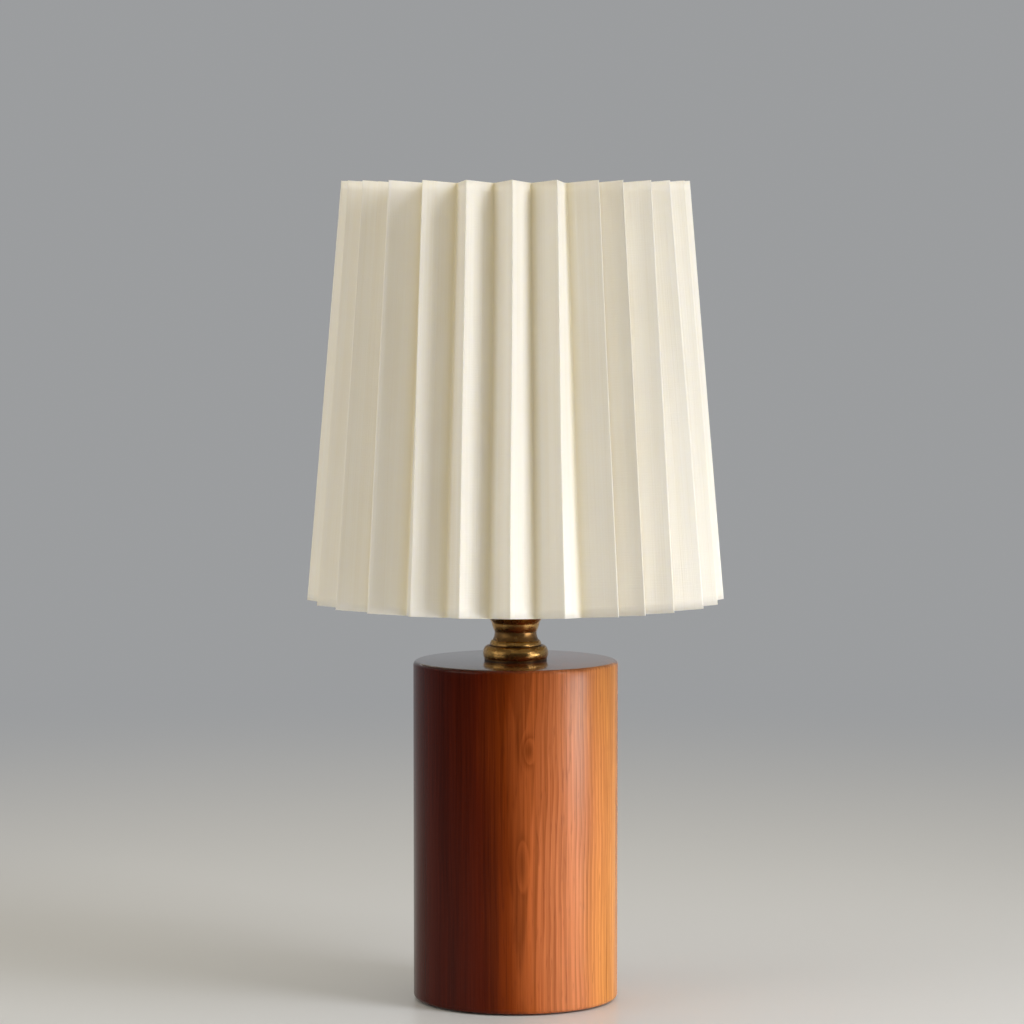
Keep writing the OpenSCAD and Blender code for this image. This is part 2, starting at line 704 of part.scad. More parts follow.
module switch_knob() {
  flutes = 10;
  flute_r = 1.4;
  edge = 1;
  knob_r = knob_d / 2;
  color("#3a2418") translate([knob_x, 0, switch_z]) rotate([0, 90, 0]) difference() {
    rotate_extrude($fn = fine)
      polygon([[0, 0], [knob_r, 0], [knob_r, knob_l - edge], [knob_r - edge, knob_l], [0, knob_l]]);
    translate([0, 0, -1]) cylinder(r = shaft_d / 2 + thread_slack, h = knob_grip + 1 + seat, $fn = fine);
    for (i = [0 : flutes - 1])
      rotate([0, 0, i * 360 / flutes])
        translate([knob_r + flute_r / 2, 0, -1]) cylinder(r = flute_r, h = knob_l + 2, $fn = 24);
  }
}

// Shade

// Points along one edge of the cloth, fold by fold round the shade, each [angle, radius, inner].
function edge_folds(front, inner_r) =
  let (outer = with_back(front), inner = inner_angles(outer))
  [for (i = [0 : fold_count - 1])
    let (before = i > 0 ? inner[i - 1] : inner[fold_count - 1] - 360, half = (inner[i] - before) / 2)
    each [[outer[i], outer_fold_r(inner_r, half), 0], [inner[i], inner_r, 1]]];
bottom_edge = edge_folds(front_bottom_angles, inner_bottom_r);
top_edge = edge_folds(front_top_angles, inner_top_r);

module shade_cover() {
  n = len(bottom_edge);
  function edge(folds, z, dip, inward) = [for (f = folds)
    [(f[1] - inward) * sin(f[0]), -(f[1] - inward) * cos(f[0]), z - f[2] * dip]];
  points = concat(
    edge(bottom_edge, shade_z0, bottom_dip, 0), edge(top_edge, shade_z1, top_dip, 0),
    edge(bottom_edge, shade_z0, bottom_dip, cloth_in), edge(top_edge, shade_z1, top_dip, cloth_in));
  ob = 0;
  ot = n;
  ib = 2 * n;
  it = 3 * n;
  faces = [for (k = [0 : n - 1]) let (j = (k + 1) % n) each [
    [ob + k, ot + k, ot + j], [ob + k, ot + j, ob + j],
    [ib + k, it + j, it + k], [ib + k, ib + j, it + j],
    [ot + k, it + k, it + j], [ot + k, it + j, ot + j],
    [ob + k, ib + j, ib + k], [ob + k, ob + j, ib + j]
  ]];
  color("#f4ecd8") polyhedron(points = points, faces = faces, convexity = 12);
}

module wire_ring(r, z) {
  translate([0, 0, z]) rotate_extrude($fn = 128) translate([r, 0]) circle(r = wire_d / 2, $fn = 32);
}

module shade_top_wire() { color("#eceae4") wire_ring(wire_r(top_wire_z), top_wire_z); }
module shade_bottom_wire() { color("#eceae4") wire_ring(wire_r(bottom_wire_z), bottom_wire_z); }

// Each arm runs from the edge of the hub plate down to the bottom wire.
arm_overlap = 0.5; // how far an arm's axis starts inside the hub's edge, before the hub cuts it
arm_r0 = hub_r - arm_overlap;
arm_z0 = hub_z + hub_t / 2;
arm_r1 = wire_r(bottom_wire_z);
arm_angle0 = 30;

module shade_arms() {
  run = arm_r1 - arm_r0;
  drop = arm_z0 - bottom_wire_z;
  arm_l = sqrt(run * run + drop * drop);
  tilt = 90 + atan(drop / run);
  color("#eceae4") difference() {
    for (i = [0 : arm_count - 1])
      rotate([0, 0, arm_angle0 + i * 360 / arm_count])
        translate([arm_r0, 0, arm_z0]) rotate([0, tilt, 0])
          cylinder(r = wire_d / 2, h = arm_l, $fn = 32);
    translate([0, 0, bottom_wire_z]) rotate_extrude($fn = 128)
      translate([arm_r1, 0]) circle(r = wire_d / 2 + thread_slack, $fn = 32);
    translate([0, 0, hub_z - wire_d])
      cylinder(r = hub_r + thread_slack, h = hub_t + 2 * wire_d, $fn = fine);
  }
}

module shade_hub() {
  color("#eceae4") translate([0, 0, hub_z]) ring(hub_r, hub_bore_r, hub_t);
}

// Candle lamp

tip_r = 4.6;

module lamp_tip() {
  edge_r = 1;
  edge_h = 0.7;
  color("#b8bcc0") translate([0, 0, lamp_z]) rotate_extrude($fn = fine)
    polygon(concat(
      [[0, 0]],
      ellipse_arc(tip_r - edge_r, edge_h, edge_r, edge_h, -90, 0, 5),
      [[tip_r, tip_h - seat], [0, tip_h - seat]]));
}

module lamp_cap_glass() {
  top_r = lamp_mean_r - lamp_thread_a - cap_t - slack;
  top_h = cap_glass_h - slack;
  color("#101010") translate([0, 0, lamp_z + tip_h]) rotate_extrude($fn = fine)
    polygon([[0, 0], [tip_r + 0.4, 0], [top_r, top_h], [0, top_h]]);
}

cap_t = 0.5;

module lamp_cap() {
  collar_z = cap_z0 + cap_thread_h;
  in_r = lamp_mean_r - lamp_thread_a - cap_t;
  // The plain collar above the thread is rooted inside the threaded wall.
  root_h = 0.4;
  root_in = in_r + 0.3 * cap_t;
  root_out = in_r + 0.7 * cap_t;
  rim_out = 0.4;
  rim_h = 0.6;
  color("#b8bcc0") union() {
    threaded_wall(lamp_mean_r, in_r, cap_z0, collar_z, false);
    rotate_extrude($fn = fine) polygon([
      [root_in, collar_z - root_h], [root_out, collar_z - root_h], [root_out, collar_z + root_h / 4],
      [lamp_mean_r, collar_z + 1.2], [lamp_mean_r, cap_z0 + cap_h - rim_h],
      [lamp_mean_r + rim_out, cap_z0 + cap_h], [root_in, cap_z0 + cap_h]
    ]);
  }
}

// Outline of the candle glass: a straight neck, a swelling belly and a drawn-in point.
belly_z = 0.42 * glass_h;
neck_straight = 3;
tip_power = 0.72; // how full the glass stays above its belly
function glass_r(z) =
  z < neck_straight ? glass_neck_d / 2
  : z < belly_z ? let (u = (z - neck_straight) / (belly_z - neck_straight))
      glass_neck_d / 2 + (glass_d - glass_neck_d) / 2 * u * u * (3 - 2 * u)
  : let (u = min(1, (z - belly_z) / (glass_h - belly_z))) glass_d / 2 * pow(1 - u * u, tip_power);

module lamp_glass() {
  steps = 34;
  wall_z1 = glass_h - 1.5 * glass_t;
  outside = [for (i = [0 : steps]) let (z = glass_h * (1 - pow(1 - i / steps, 1.5))) [glass_r(z), z]];
  inside = [for (i = [steps : -1 : 0]) let (z = wall_z1 * (1 - pow(1 - i / steps, 1.5)))
    [max(0, glass_r(z * glass_h / wall_z1) - glass_t), z]];
  sink_r = lamp_mean_r - lamp_thread_a - cap_t - seat;
  neck_r = min(sink_r, glass_neck_d / 2);
  color("#e8f1f2") translate([0, 0, glass_z]) rotate_extrude($fn = fine)
    polygon(concat([[neck_r - glass_t, -glass_sink], [neck_r, -glass_sink], [neck_r, 0]], outside, inside));
}

stem_h = 17;

module lamp_stem() {
  flare_r0 = glass_neck_d / 2 - glass_t - seat;
  flare_l = 8;
  rod_r = 2;
  color("#dfe9ea") translate([0, 0, glass_z]) rotate_extrude($fn = fine)
    polygon(concat(
      [[0, 2], [flare_r0, 0], [flare_r0, 1]],
      [for (i = [1 : 6]) let (t = i / 6) [flare_r0 + (rod_r - flare_r0) * sin(90 * t), 1 + flare_l * t]],
      [[rod_r, stem_h - 1], [rod_r - 1, stem_h], [0, stem_h]]));
}

filament_r = 5.5; // distance of the filaments from the lamp's axis
filament_rod_r = 0.9;
filament_z = stem_h + 2;
lead_r = 0.4;
filament_count = 4;

module lamp_wires() {
  top_z = filament_z + filament_l + lead_r + slack;
  low_z = filament_z - lead_r - slack;
  color("#a9abad") translate([0, 0, glass_z]) {
    translate([0, 0, stem_h + slack]) cylinder(r = lead_r, h = top_z - stem_h - slack, $fn = 24);
    for (i = [0 : filament_count - 1], z = [low_z, top_z])
      rotate([0, 0, 45 + i * 360 / filament_count]) translate([0, 0, z]) rotate([0, 90, 0])
        cylinder(r = lead_r, h = filament_r + lead_r, $fn = 24);
  }
}

module lamp_filaments() {
  color("#e9b63a") translate([0, 0, glass_z]) for (i = [0 : filament_count - 1])
    rotate([0, 0, 45 + i * 360 / filament_count])
      translate([filament_r, 0, filament_z]) cylinder(r = filament_rod_r, h = filament_l, $fn = 32);
}

felt_pad();
wood_body();
rod_tube();
clamp_washer();
lock_washer();
clamp_nut();
outlet_nipple();
outlet_nut();
outlet_bush();
brass_neck();
neck_nut();
holder_casing();
casing_grub_screw();
switch_block();
switch_contacts();
switch_collar();
porcelain_insert();
terminal_screws();
earth_screw();
centre_contact();
screw_shell();
holder_skirt();
lower_shade_ring();
upper_shade_ring();
switch_shaft();
switch_cam();
switch_knob();
shade_cover();
shade_top_wire();
shade_bottom_wire();
shade_arms();
shade_hub();
lamp_tip();
lamp_cap();
lamp_cap_glass();
lamp_glass();
lamp_stem();
lamp_wires();
lamp_filaments();
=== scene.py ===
"""Wooden table lamp with a brass neck and a pleated cloth shade, dressed in the order of its assembly.

Metres in the scene, millimetres in the shapes below, +Z up. The front of the lamp faces -Y.
"""

import bpy
import numpy as np
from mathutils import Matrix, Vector


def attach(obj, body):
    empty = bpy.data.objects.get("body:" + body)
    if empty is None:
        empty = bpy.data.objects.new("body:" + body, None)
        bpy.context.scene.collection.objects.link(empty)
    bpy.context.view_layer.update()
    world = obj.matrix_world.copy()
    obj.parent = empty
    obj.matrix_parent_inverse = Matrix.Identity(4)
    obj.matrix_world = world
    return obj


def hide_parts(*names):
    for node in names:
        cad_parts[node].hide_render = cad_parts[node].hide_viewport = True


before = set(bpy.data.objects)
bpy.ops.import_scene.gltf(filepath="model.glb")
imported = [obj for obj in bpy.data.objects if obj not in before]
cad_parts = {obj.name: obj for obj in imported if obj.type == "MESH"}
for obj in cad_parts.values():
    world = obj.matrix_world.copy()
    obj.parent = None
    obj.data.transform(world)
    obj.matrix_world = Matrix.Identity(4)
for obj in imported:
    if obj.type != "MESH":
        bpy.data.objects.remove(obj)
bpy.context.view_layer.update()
scene = bpy.context.scene


# Felt pad: a 2 mm disc of pressed wool felt in a shallow seat under the wood, held with glue.
# Half a millimetre of it stands out, so the lamp stands on felt and doesn't scratch the table.

def grid_faces(rows, columns, rows_join, columns_join):
    """Corner numbers of the faces of a grid, where point (row, column) has the number
    row * columns + column. A direction that joins has faces from its last line to its first."""
    row = np.arange(rows if rows_join else rows - 1)[:, None]
    column = np.arange(columns if columns_join else columns - 1)[None, :]
    row_after, column_after = (row + 1) % rows, (column + 1) % columns
    corners = np.broadcast_arrays(
        row * columns + column, row * columns + column_after,
        row_after * columns + column_after, row_after * columns + column)
    return np.stack(corners, -1).reshape(-1, 4)


def turned(radii, heights, sides, closed=True):
    """Points and faces of an outline turned about Z. Point (i, j) lies at the angle
    a = 2 pi i / sides as (r cos a, r sin a, z), with r = radii[j] or radii[i, j] and z = heights[j].
    A closed outline joins its ends. An open one starts and ends on the axis, one point each."""
    radii = np.broadcast_to(np.asarray(radii, float), (sides, len(heights)))
    a = np.linspace(0, 2 * np.pi, sides, endpoint=False)[:, None]
    points = np.stack([radii * np.cos(a), radii * np.sin(a), np.broadcast_to(heights, radii.shape)], -1)
    faces = grid_faces(sides, len(heights), True, closed)
    if not closed:
        number = np.arange(radii.size).reshape(radii.shape)
        number[:, 0], number[:, -1] = number[0, 0], number[0, -1]
        faces = number.ravel()[faces]
    return points.reshape(-1, 3), faces


def lathed(outline, sides, closed=True):
    """Points and faces of an outline of points (radius, height) turned about Z."""
    return turned(outline[:, 0], outline[:, 1], sides, closed)


def eased(outline, radius, closed=True, steps=4):
    """The outline with its corners rounded. Corner C between the points P and Q, which lie on its
    two sides at the radius or at 0.45 of a shorter side, becomes the curve
    (1 - s)^2 P + 2 s (1 - s) C + s^2 Q. An open outline keeps its two end points."""
    corner = np.asarray(outline, float)

    def along(neighbour):
        side = neighbour - corner
        length = np.maximum(np.linalg.norm(side, axis=1, keepdims=True), 1e-9)
        return (corner + side / length * np.minimum(radius, 0.45 * length))[:, None]

    s = np.linspace(0, 1, steps + 1)[None, :, None]
    curve = ((1 - s) ** 2 * along(np.roll(corner, 1, axis=0)) + 2 * s * (1 - s) * corner[:, None]
             + s ** 2 * along(np.roll(corner, -1, axis=0)))
    if closed:
        return curve.reshape(-1, 2)
    return np.concatenate([corner[:1], curve[1:-1].reshape(-1, 2), corner[-1:]])


def new_piece(name, shape, material, body, slot, nodes, crease=35, uv=None, **values):
    """An object from points in millimetres and faces, smooth but for edges that turn by more than
    the crease angle. A face's corner that repeats the next one is dropped, so faces at a pole have
    three. Where the sum of the faces' corner determinants, six times the volume, is negative, the
    faces are turned round. values are numbers for each point, kept as attributes."""
    points, faces = shape
    used, faces = np.unique(faces, return_inverse=True)
    points, faces = points[used], faces.reshape(-1, 4)
    a, b, c, d = (points[faces[:, k]] for k in range(4))
    volume = np.sum(a * np.cross(b, c)) + np.sum(a * np.cross(c, d))
    if volume < 0:
        faces = faces[:, ::-1]
    kept = faces != np.roll(faces, -1, axis=1)
    loops, sizes = faces[kept], kept.sum(axis=1)

    mesh = bpy.data.meshes.new(name)
    mesh.vertices.add(len(points))
    mesh.vertices.foreach_set("co", (points * 0.001).astype(np.float32).ravel())
    mesh.loops.add(len(loops))
    mesh.loops.foreach_set("vertex_index", loops.astype(np.int32))
    mesh.polygons.add(len(sizes))
    mesh.polygons.foreach_set("loop_start", (np.cumsum(sizes) - sizes).astype(np.int32))
    mesh.update(calc_edges=True)
    mesh.validate()
    mesh.shade_smooth()
    mesh.set_sharp_from_angle(angle=np.radians(crease))
    if uv is not None:
        layer = mesh.uv_layers.new(name="flat")
        layer.uv.foreach_set("vector", uv[used][loops].astype(np.float32).ravel())
    for key, value in values.items():
        mesh.attributes.new(key, "FLOAT", "POINT").data.foreach_set("value", value[used].astype(np.float32))

    piece = bpy.data.objects.new(name, mesh)
    scene.collection.objects.link(piece)
    for each in material if isinstance(material, tuple) else (material,):
        mesh.materials.append(each)
    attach(piece, body)
    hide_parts(*nodes.split())
    return piece


def add_node(tree, kind, inputs=(), **settings):
    """A shader node with its settings. Each input gets a value or another node's output."""
    made = tree.nodes.new("ShaderNode" + kind)
    for key, value in settings.items():
        setattr(made, key, value)
    for key, value in dict(inputs).items():
        if isinstance(value, bpy.types.NodeSocket):
            tree.links.new(value, made.inputs[key])
        else:
            made.inputs[key].default_value = value
    return made


def place(tree, scale=(1, 1, 1), turn=(0, 0, 0), shift=(0, 0, 0), source="Object"):
    """The piece's own coordinates in metres (or its flat UV map), scaled, turned and shifted."""
    where = add_node(tree, "TexCoord").outputs[source]
    inputs = {"Vector": where, "Scale": scale, "Rotation": turn, "Location": shift}
    return add_node(tree, "Mapping", inputs).outputs[0]


def noise(tree, where, scale, detail=3.0, roughness=0.5, distortion=0.0):
    """Smooth noise from 0 to 1, with that many lumps to a metre of its coordinates."""
    inputs = {"Vector": where, "Scale": scale, "Detail": detail, "Roughness": roughness,
              "Distortion": distortion}
    return add_node(tree, "TexNoise", inputs).outputs["Fac"]


def span(tree, value, low, high, to_low=0.0, to_high=1.0, course="LINEAR"):
    """The value carried from the range low..high to to_low..to_high, evenly or on another course, and
    held there outside it."""
    inputs = {"Value": value, "From Min": low, "From Max": high, "To Min": to_low, "To Max": to_high}
    return add_node(tree, "MapRange", inputs, interpolation_type=course).outputs["Result"]


def arithmetic(tree, operation, a, b=0.0):
    """One step of arithmetic on two numbers."""
    return add_node(tree, "Math", {0: a, 1: b}, operation=operation).outputs[0]


def product(tree, a, b):
    """a times b."""
    return arithmetic(tree, "MULTIPLY", a, b)


def total(tree, first, *others):
    """The sum of some numbers, added one by one."""
    for other in others:
        first = arithmetic(tree, "ADD", first, other)
    return first


def tint(tree, factor, a, b):
    """Colour a turned into colour b by the factor."""
    return add_node(tree, "Mix", {0: factor, 6: a, 7: b}, data_type="RGBA").outputs[2]


def colour_steps(tree, value, *steps):
    """A colour that runs through steps of (value, colour) as the value goes from 0 to 1."""
    ramp = add_node(tree, "ValToRGB", {0: value})
    while len(ramp.color_ramp.elements) < len(steps):
        ramp.color_ramp.elements.new(1.0)
    for element, (position, colour) in zip(ramp.color_ramp.elements, steps):
        element.position, element.color = position, (*colour, 1)
    return ramp.outputs["Color"]


def bumped(tree, height, depth):
    """The surface normal tilted by a height from 0 to 1 that stands for that depth in metres."""
    inputs = {"Height": height, "Strength": 1.0, "Distance": depth}
    return add_node(tree, "Bump", inputs).outputs["Normal"]


def new_material(name, **uniform):
    """A material with a Principled BSDF. The uniform numbers are set on its sockets."""
    material = bpy.data.materials.new(name)
    material.use_nodes = True
    shader = material.node_tree.nodes["Principled BSDF"]
    for key, value in uniform.items():
        shader.inputs[key.replace("_", " ")].default_value = value
    return material, material.node_tree, shader


def feed(tree, shader, **outputs):
    """Links outputs to the shader's sockets of those names."""
    for key, output in outputs.items():
        tree.links.new(output, shader.inputs[key.replace("_", " ")])


felt, tree, shader = new_material("felt", Specular_IOR_Level=0.15, Sheen_Weight=0.3, Sheen_Roughness=0.6)
tufts = noise(tree, place(tree), 420, 6.0, 0.7, 1.5)
feed(tree, shader,
     Base_Color=colour_steps(tree, tufts, (0.25, (0.012, 0.011, 0.010)), (0.75, (0.045, 0.042, 0.038))),
     Roughness=span(tree, tufts, 0.2, 0.8, 0.85, 1.0),
     Normal=bumped(tree, tufts, 0.0004))

pad_outline = eased([(0, 0), (44, 0), (44, 2), (0, 2)], 0.3, closed=False)
new_piece("felt_pad_disc", lathed(pad_outline, 160, closed=False), felt, "stand", "felt", "felt_pad")


# Wooden body: a cylinder turned from one block of reddish brown hardwood, its grain upright, then
# stained and sprayed with clear lacquer. The underside has the pad's seat and a deep recess for the
# nuts, and a flat is cut at the back for the cord outlet.

WOOD_TOP = 166.5
OUTLET_Z = 13.5


def arc(r, z, a, b, start, end, count):
    """Points (r + a cos t, z + b sin t) as t runs from the start to the end, in degrees."""
    t = np.radians(np.linspace(start, end, count))
    return np.stack([r + a * np.cos(t), z + b * np.sin(t)], -1)


def wood_shape():
    """The turned outline, with a window of its grid at the back replaced by a patch. The patch runs
    in rings from the window's border W to circles about the outlet's axis: a point is
    (1 - t) W + t C in the plane across that axis, set back on the cylinder y = sqrt(R^2 - x^2),
    and then steps down to the flat cut and along the blind hole, which ends in one point."""
    radius, edge, foot, sides, cells = 50.0, 2.0, 0.5, 256, 16
    bore_r, recess_r, recess_top, seat_r, seat_top = 5.1, 28, 26.5, 44.3, 2.3
    window_z = np.linspace(OUTLET_Z + 10, OUTLET_Z - 10, cells + 1)
    side_z = np.concatenate([[WOOD_TOP - edge], np.arange(160, 25, -10.0), window_z, [foot + edge]])
    upper = arc(radius - edge, WOOD_TOP - edge, edge, edge, 90, 0, 9)[:-1]
    lower = arc(radius - edge, foot + edge, edge, edge, 0, -90, 9)[1:]
    outline = np.concatenate([
        [(bore_r, recess_top), (bore_r, WOOD_TOP)], upper,
        np.stack([np.full(len(side_z), radius), side_z], -1), lower,
        [(seat_r, foot), (seat_r, seat_top), (recess_r, seat_top), (recess_r, recess_top)]])
    points, faces = lathed(outline, sides)

    steps = len(outline)
    number = np.arange(sides * steps).reshape(sides, steps)
    top = 2 + len(upper) + int(np.argmin(np.abs(side_z - window_z[0])))
    first = sides // 4 - cells // 2
    bottom, last = top + cells, first + cells
    uncut = np.ones((sides, steps), bool)
    uncut[first:last, top:bottom] = False
    border = np.concatenate([
        number[first:last, top], number[last, top:bottom], number[last:first:-1, bottom],
        number[first, bottom:top:-1]])

    cut_r, cut_y, hole_end, lip = 7.3, 48.4, 30.0, 0.3
    edge_x, edge_z = points[border, 0], points[border, 2] - OUTLET_Z
    around = np.arctan2(edge_z, edge_x)

    def ring(t, r, depth=None):
        x = (1 - t) * edge_x + t * r * np.cos(around)
        z = (1 - t) * edge_z + t * r * np.sin(around)
        y = np.sqrt(radius ** 2 - x ** 2) if depth is None else np.full(len(x), depth)
        return np.stack([x, y, z + OUTLET_Z], -1)

    rings = [ring(t, cut_r + lip) for t in (0.4, 0.75, 1)]
    rings += [ring(1, cut_r + 0.08) - (0, 0.08, 0), ring(1, cut_r) - (0, lip, 0), ring(1, cut_r, cut_y),
              ring(1, bore_r, cut_y), ring(1, bore_r, hole_end)]
    patch = np.concatenate(rings + [np.array([[0, hole_end, OUTLET_Z]])])
    table = np.concatenate([border, len(points) + np.arange(len(rings) * len(border))])
    table = np.concatenate([table, np.full(len(border), len(points) + len(patch) - 1)])
    patch_faces = table[grid_faces(len(rings) + 2, len(border), False, True)][:, ::-1]
    return np.concatenate([points, patch]), np.concatenate([faces[uncut.ravel()], patch_faces])


def node_group(name, inputs, outputs):
    """A new node group, the outputs of its input node and the inputs of its output node. All but the
    input called Vector are numbers."""
    group = bpy.data.node_groups.new(name, "ShaderNodeTree")
    for label in inputs:
        kind = "NodeSocketVector" if label == "Vector" else "NodeSocketFloat"
        group.interface.new_socket(label, in_out="INPUT", socket_type=kind)
    for label in outputs:
        group.interface.new_socket(label, in_out="OUTPUT", socket_type="NodeSocketFloat")
    return group, group.nodes.new("NodeGroupInput").outputs, group.nodes.new("NodeGroupOutput").inputs


def streak_group():
    """Fine streaks along Z: noise drawn out along one direction, from 0 to 1, and the finer and
    sharper pores among them. Wood takes them from its object coordinates and cloth from its UV map."""
    group, given, result = node_group(
        "drawn_out_streaks", ("Vector", "Across", "Along", "Detail"), ("Streaks", "Pores"))

    def drawn(across, along):
        factors = add_node(group, "CombineXYZ", {0: across, 1: across, 2: along}).outputs[0]
        inputs = {0: given["Vector"], 1: factors}
        return add_node(group, "VectorMath", inputs, operation="MULTIPLY").outputs[0]

    streaks = noise(group, drawn(given["Across"], given["Along"]), 1.0, given["Detail"], 0.55)
    fine, short = product(group, given["Across"], 1.7), product(group, given["Along"], 9.0)
    pores = noise(group, drawn(fine, short), 1.0, 1.0)
    group.links.new(streaks, result["Streaks"])
    group.links.new(span(group, pores, 0.62, 0.74), result["Pores"])
    return group


def streaks_in(tree, where, across, along, detail=4.0):
    """A copy of the streak group with its own spacing, as its two outputs."""
    inputs = {"Vector": where, "Across": across, "Along": along, "Detail": detail}
    return tuple(add_node(tree, "Group", inputs, node_tree=drawn_out_streaks).outputs)


drawn_out_streaks = streak_group()


def coordinate(tree, axis, where):
    """One coordinate of a place."""
    return add_node(tree, "SeparateXYZ", {0: where}).outputs[axis]


def length_of(tree, vector):
    """The length of a vector."""
    return add_node(tree, "VectorMath", {0: vector}, operation="LENGTH").outputs["Value"]


def eye(tree, centre, reach):
    """1 at a centre in the wood, falling smoothly to 0 at the reach along each axis: a small knot."""
    centre, reach = np.array(centre), np.array(reach)
    spot = place(tree, tuple(1 / reach), shift=tuple(-centre / reach))
    return span(tree, length_of(tree, spot), 0, 1, 1, 0, "SMOOTHSTEP")


lacquered_wood, tree, shader = new_material(
    "lacquered_wood", Specular_IOR_Level=0.12, Coat_Roughness=0.1, Coat_IOR=1.5)
# Year rings stand round a pith line near the front that leans forward as it rises, so the middle of
# the front shows narrow tongues that open upwards, and the rest close upright lines. Two small eyes
# push the rings aside.
YEAR_RING = 0.0021
bend = noise(tree, place(tree, (26, 26, 15)), 1.0, 2.0, 0.45)
pith = place(tree, turn=(np.radians(-1.5), np.radians(0.3), 0), shift=(-0.0025, 0.039, 0))
flat_pith = add_node(tree, "VectorMath", {0: pith, 1: (1, 1, 0)}, operation="MULTIPLY").outputs[0]
upper_eye = eye(tree, (0.0057, -0.05, 0.128), (0.0045, 0.03, 0.012))
lower_eye = eye(tree, (0.0030, -0.05, 0.074), (0.0045, 0.03, 0.020))
waved = total(tree, length_of(tree, flat_pith), span(tree, bend, 0, 1, -0.0022, 0.0022),
              product(tree, upper_eye, 0.0034), product(tree, lower_eye, 0.0030))
year = arithmetic(tree, "FRACT", product(tree, waved, 1 / YEAR_RING))
late_wood = product(tree, span(tree, year, 0.1, 0.8), span(tree, year, 1.0, 0.86))
streaks, pores = streaks_in(tree, place(tree), 560, 10)
fibres, _ = streaks_in(tree, place(tree, shift=(0.1, 0.2, 0)), 1300, 24, 3.0)
broad_streaks, _ = streaks_in(tree, place(tree, shift=(0.3, 0.1, 0)), 120, 4, 2.0)
clouds = noise(tree, place(tree, (14, 14, 5)), 1.0, 2.0)
height = coordinate(tree, "Z", place(tree))
seasons = product(tree, late_wood, span(tree, clouds, 0.35, 0.65, -0.14, -0.4))
tone = total(tree, span(tree, streaks, 0.3, 0.7, 0.0, 0.42), span(tree, broad_streaks, 0.3, 0.7, 0.0, 0.5),
             span(tree, fibres, 0.3, 0.7, -0.14, 0.26), span(tree, clouds, 0.3, 0.7, 0.0, 0.24),
             product(tree, upper_eye, -0.3), seasons, span(tree, height, 0.0, 0.13, 0.2, 0.0))
# The colour runs from a very dark brown at the left to orange at the right, with a pinkish band
# near the right edge. Some of it is heartwood against sapwood, but most is painted shade on the left,
# painted light on the right and a painted highlight of the lacquer's sheen in the pinkish band.
# The tone also grows paler towards the bottom.
side = total(tree, coordinate(tree, "X", place(tree)), span(tree, bend, 0, 1, -0.007, 0.007))
side = span(tree, side, -0.045, 0.047)
painted_light_steps = (0.10, 0.30, 0.45, 0.58, 0.72, 0.84, 1.0)
dark_tone_painted_light = colour_steps(tree, side, *zip(painted_light_steps, (
    (0.029, 0.0022, 0.0003), (0.041, 0.0036, 0.0003), (0.083, 0.0120, 0.0006), (0.190, 0.040, 0.007),
    (0.265, 0.074, 0.022), (0.265, 0.081, 0.026), (0.300, 0.094, 0.019))))
pale_tone_painted_light = colour_steps(tree, side, *zip(painted_light_steps, (
    (0.067, 0.0058, 0.0008), (0.098, 0.0095, 0.0008), (0.21, 0.033, 0.002), (0.46, 0.115, 0.027),
    (0.60, 0.198, 0.076), (0.60, 0.215, 0.083), (0.68, 0.28, 0.066))))
stain_and_painted_light = tint(tree, tone, dark_tone_painted_light, pale_tone_painted_light)
# The lacquer lies thick and level on the flat top, and thin on the upright side, where it ran.
top_coat = span(tree, height, 0.1648, 0.1664)
feed(tree, shader,
     Base_Color=tint(tree, product(tree, pores, 0.22), stain_and_painted_light, (0.06, 0.007, 0.002, 1)),
     Roughness=span(tree, streaks, 0.3, 0.7, 0.19, 0.24), Coat_Weight=top_coat,
     Normal=bumped(tree, arithmetic(tree, "SUBTRACT", streaks, pores), 0.00002))

new_piece("wood_body_turned", wood_shape(), lacquered_wood, "stand", "walnut_lacquer", "wood_body")


# Cord outlet: a black moulded bush pressed into a threaded nipple, low at the back of the wood. Its
# flange lies on the flat cut and its bore leads a round cord in. A nut in the recess holds the nipple.

def wear_group():
    """What handling leaves on a smooth finish: roughness that wanders between two values in broad
    smudges, and a height of faint cross scratches over slow waviness."""
    group, given, result = node_group(
        "handled_finish", ("Smudges", "Low", "High"), ("Roughness", "Height", "Smudge"))
    smudge = noise(group, place(group), given["Smudges"], 4.0, 0.6, 0.4)
    hair = noise(group, place(group, (2600, 160, 900), (0.4, 0.3, 0.8)), 1.0, 2.0)
    hair_across = noise(group, place(group, (150, 2400, 1100), (-0.5, 0.2, 0.3)), 1.0, 2.0)
    scratch = product(group, span(group, hair, 0.3, 0.7), span(group, hair_across, 0.3, 0.7))
    group.links.new(span(group, smudge, 0.3, 0.7, given["Low"], given["High"]), result["Roughness"])
    group.links.new(total(group, product(group, scratch, 0.3), smudge), result["Height"])
    group.links.new(smudge, result["Smudge"])
    return group


handled_finish = wear_group()


def worn(tree, smudges, low, high):
    """A copy of the handled finish with its own roughness, as its three outputs."""
    inputs = {"Smudges": smudges, "Low": low, "High": high}
    return tuple(add_node(tree, "Group", inputs, node_tree=handled_finish).outputs)


def moulded(name, dark, pale):
    """A glossy thermoset moulding: filler swirls between a dark and a paler tone."""
    material, tree, shader = new_material(name, Specular_IOR_Level=0.5)
    roughness, height, _ = worn(tree, 90, 0.22, 0.36)
    swirl = noise(tree, place(tree, (60, 60, 110)), 1.0, 4.0, 0.6, 2.2)
    feed(tree, shader, Base_Color=colour_steps(tree, swirl, (0.3, dark), (0.72, pale)),
         Roughness=roughness, Normal=bumped(tree, height, 0.00003))
    return material


def metal(name, dark, pale, low, high):
    """A bare metal with a slightly uneven tone."""
    material, tree, shader = new_material(name, Metallic=1.0)
    roughness, height, smudge = worn(tree, 120, low, high)
    feed(tree, shader, Base_Color=colour_steps(tree, smudge, (0.3, dark), (0.7, pale)),
         Roughness=roughness, Normal=bumped(tree, height, 0.000015))
    return material


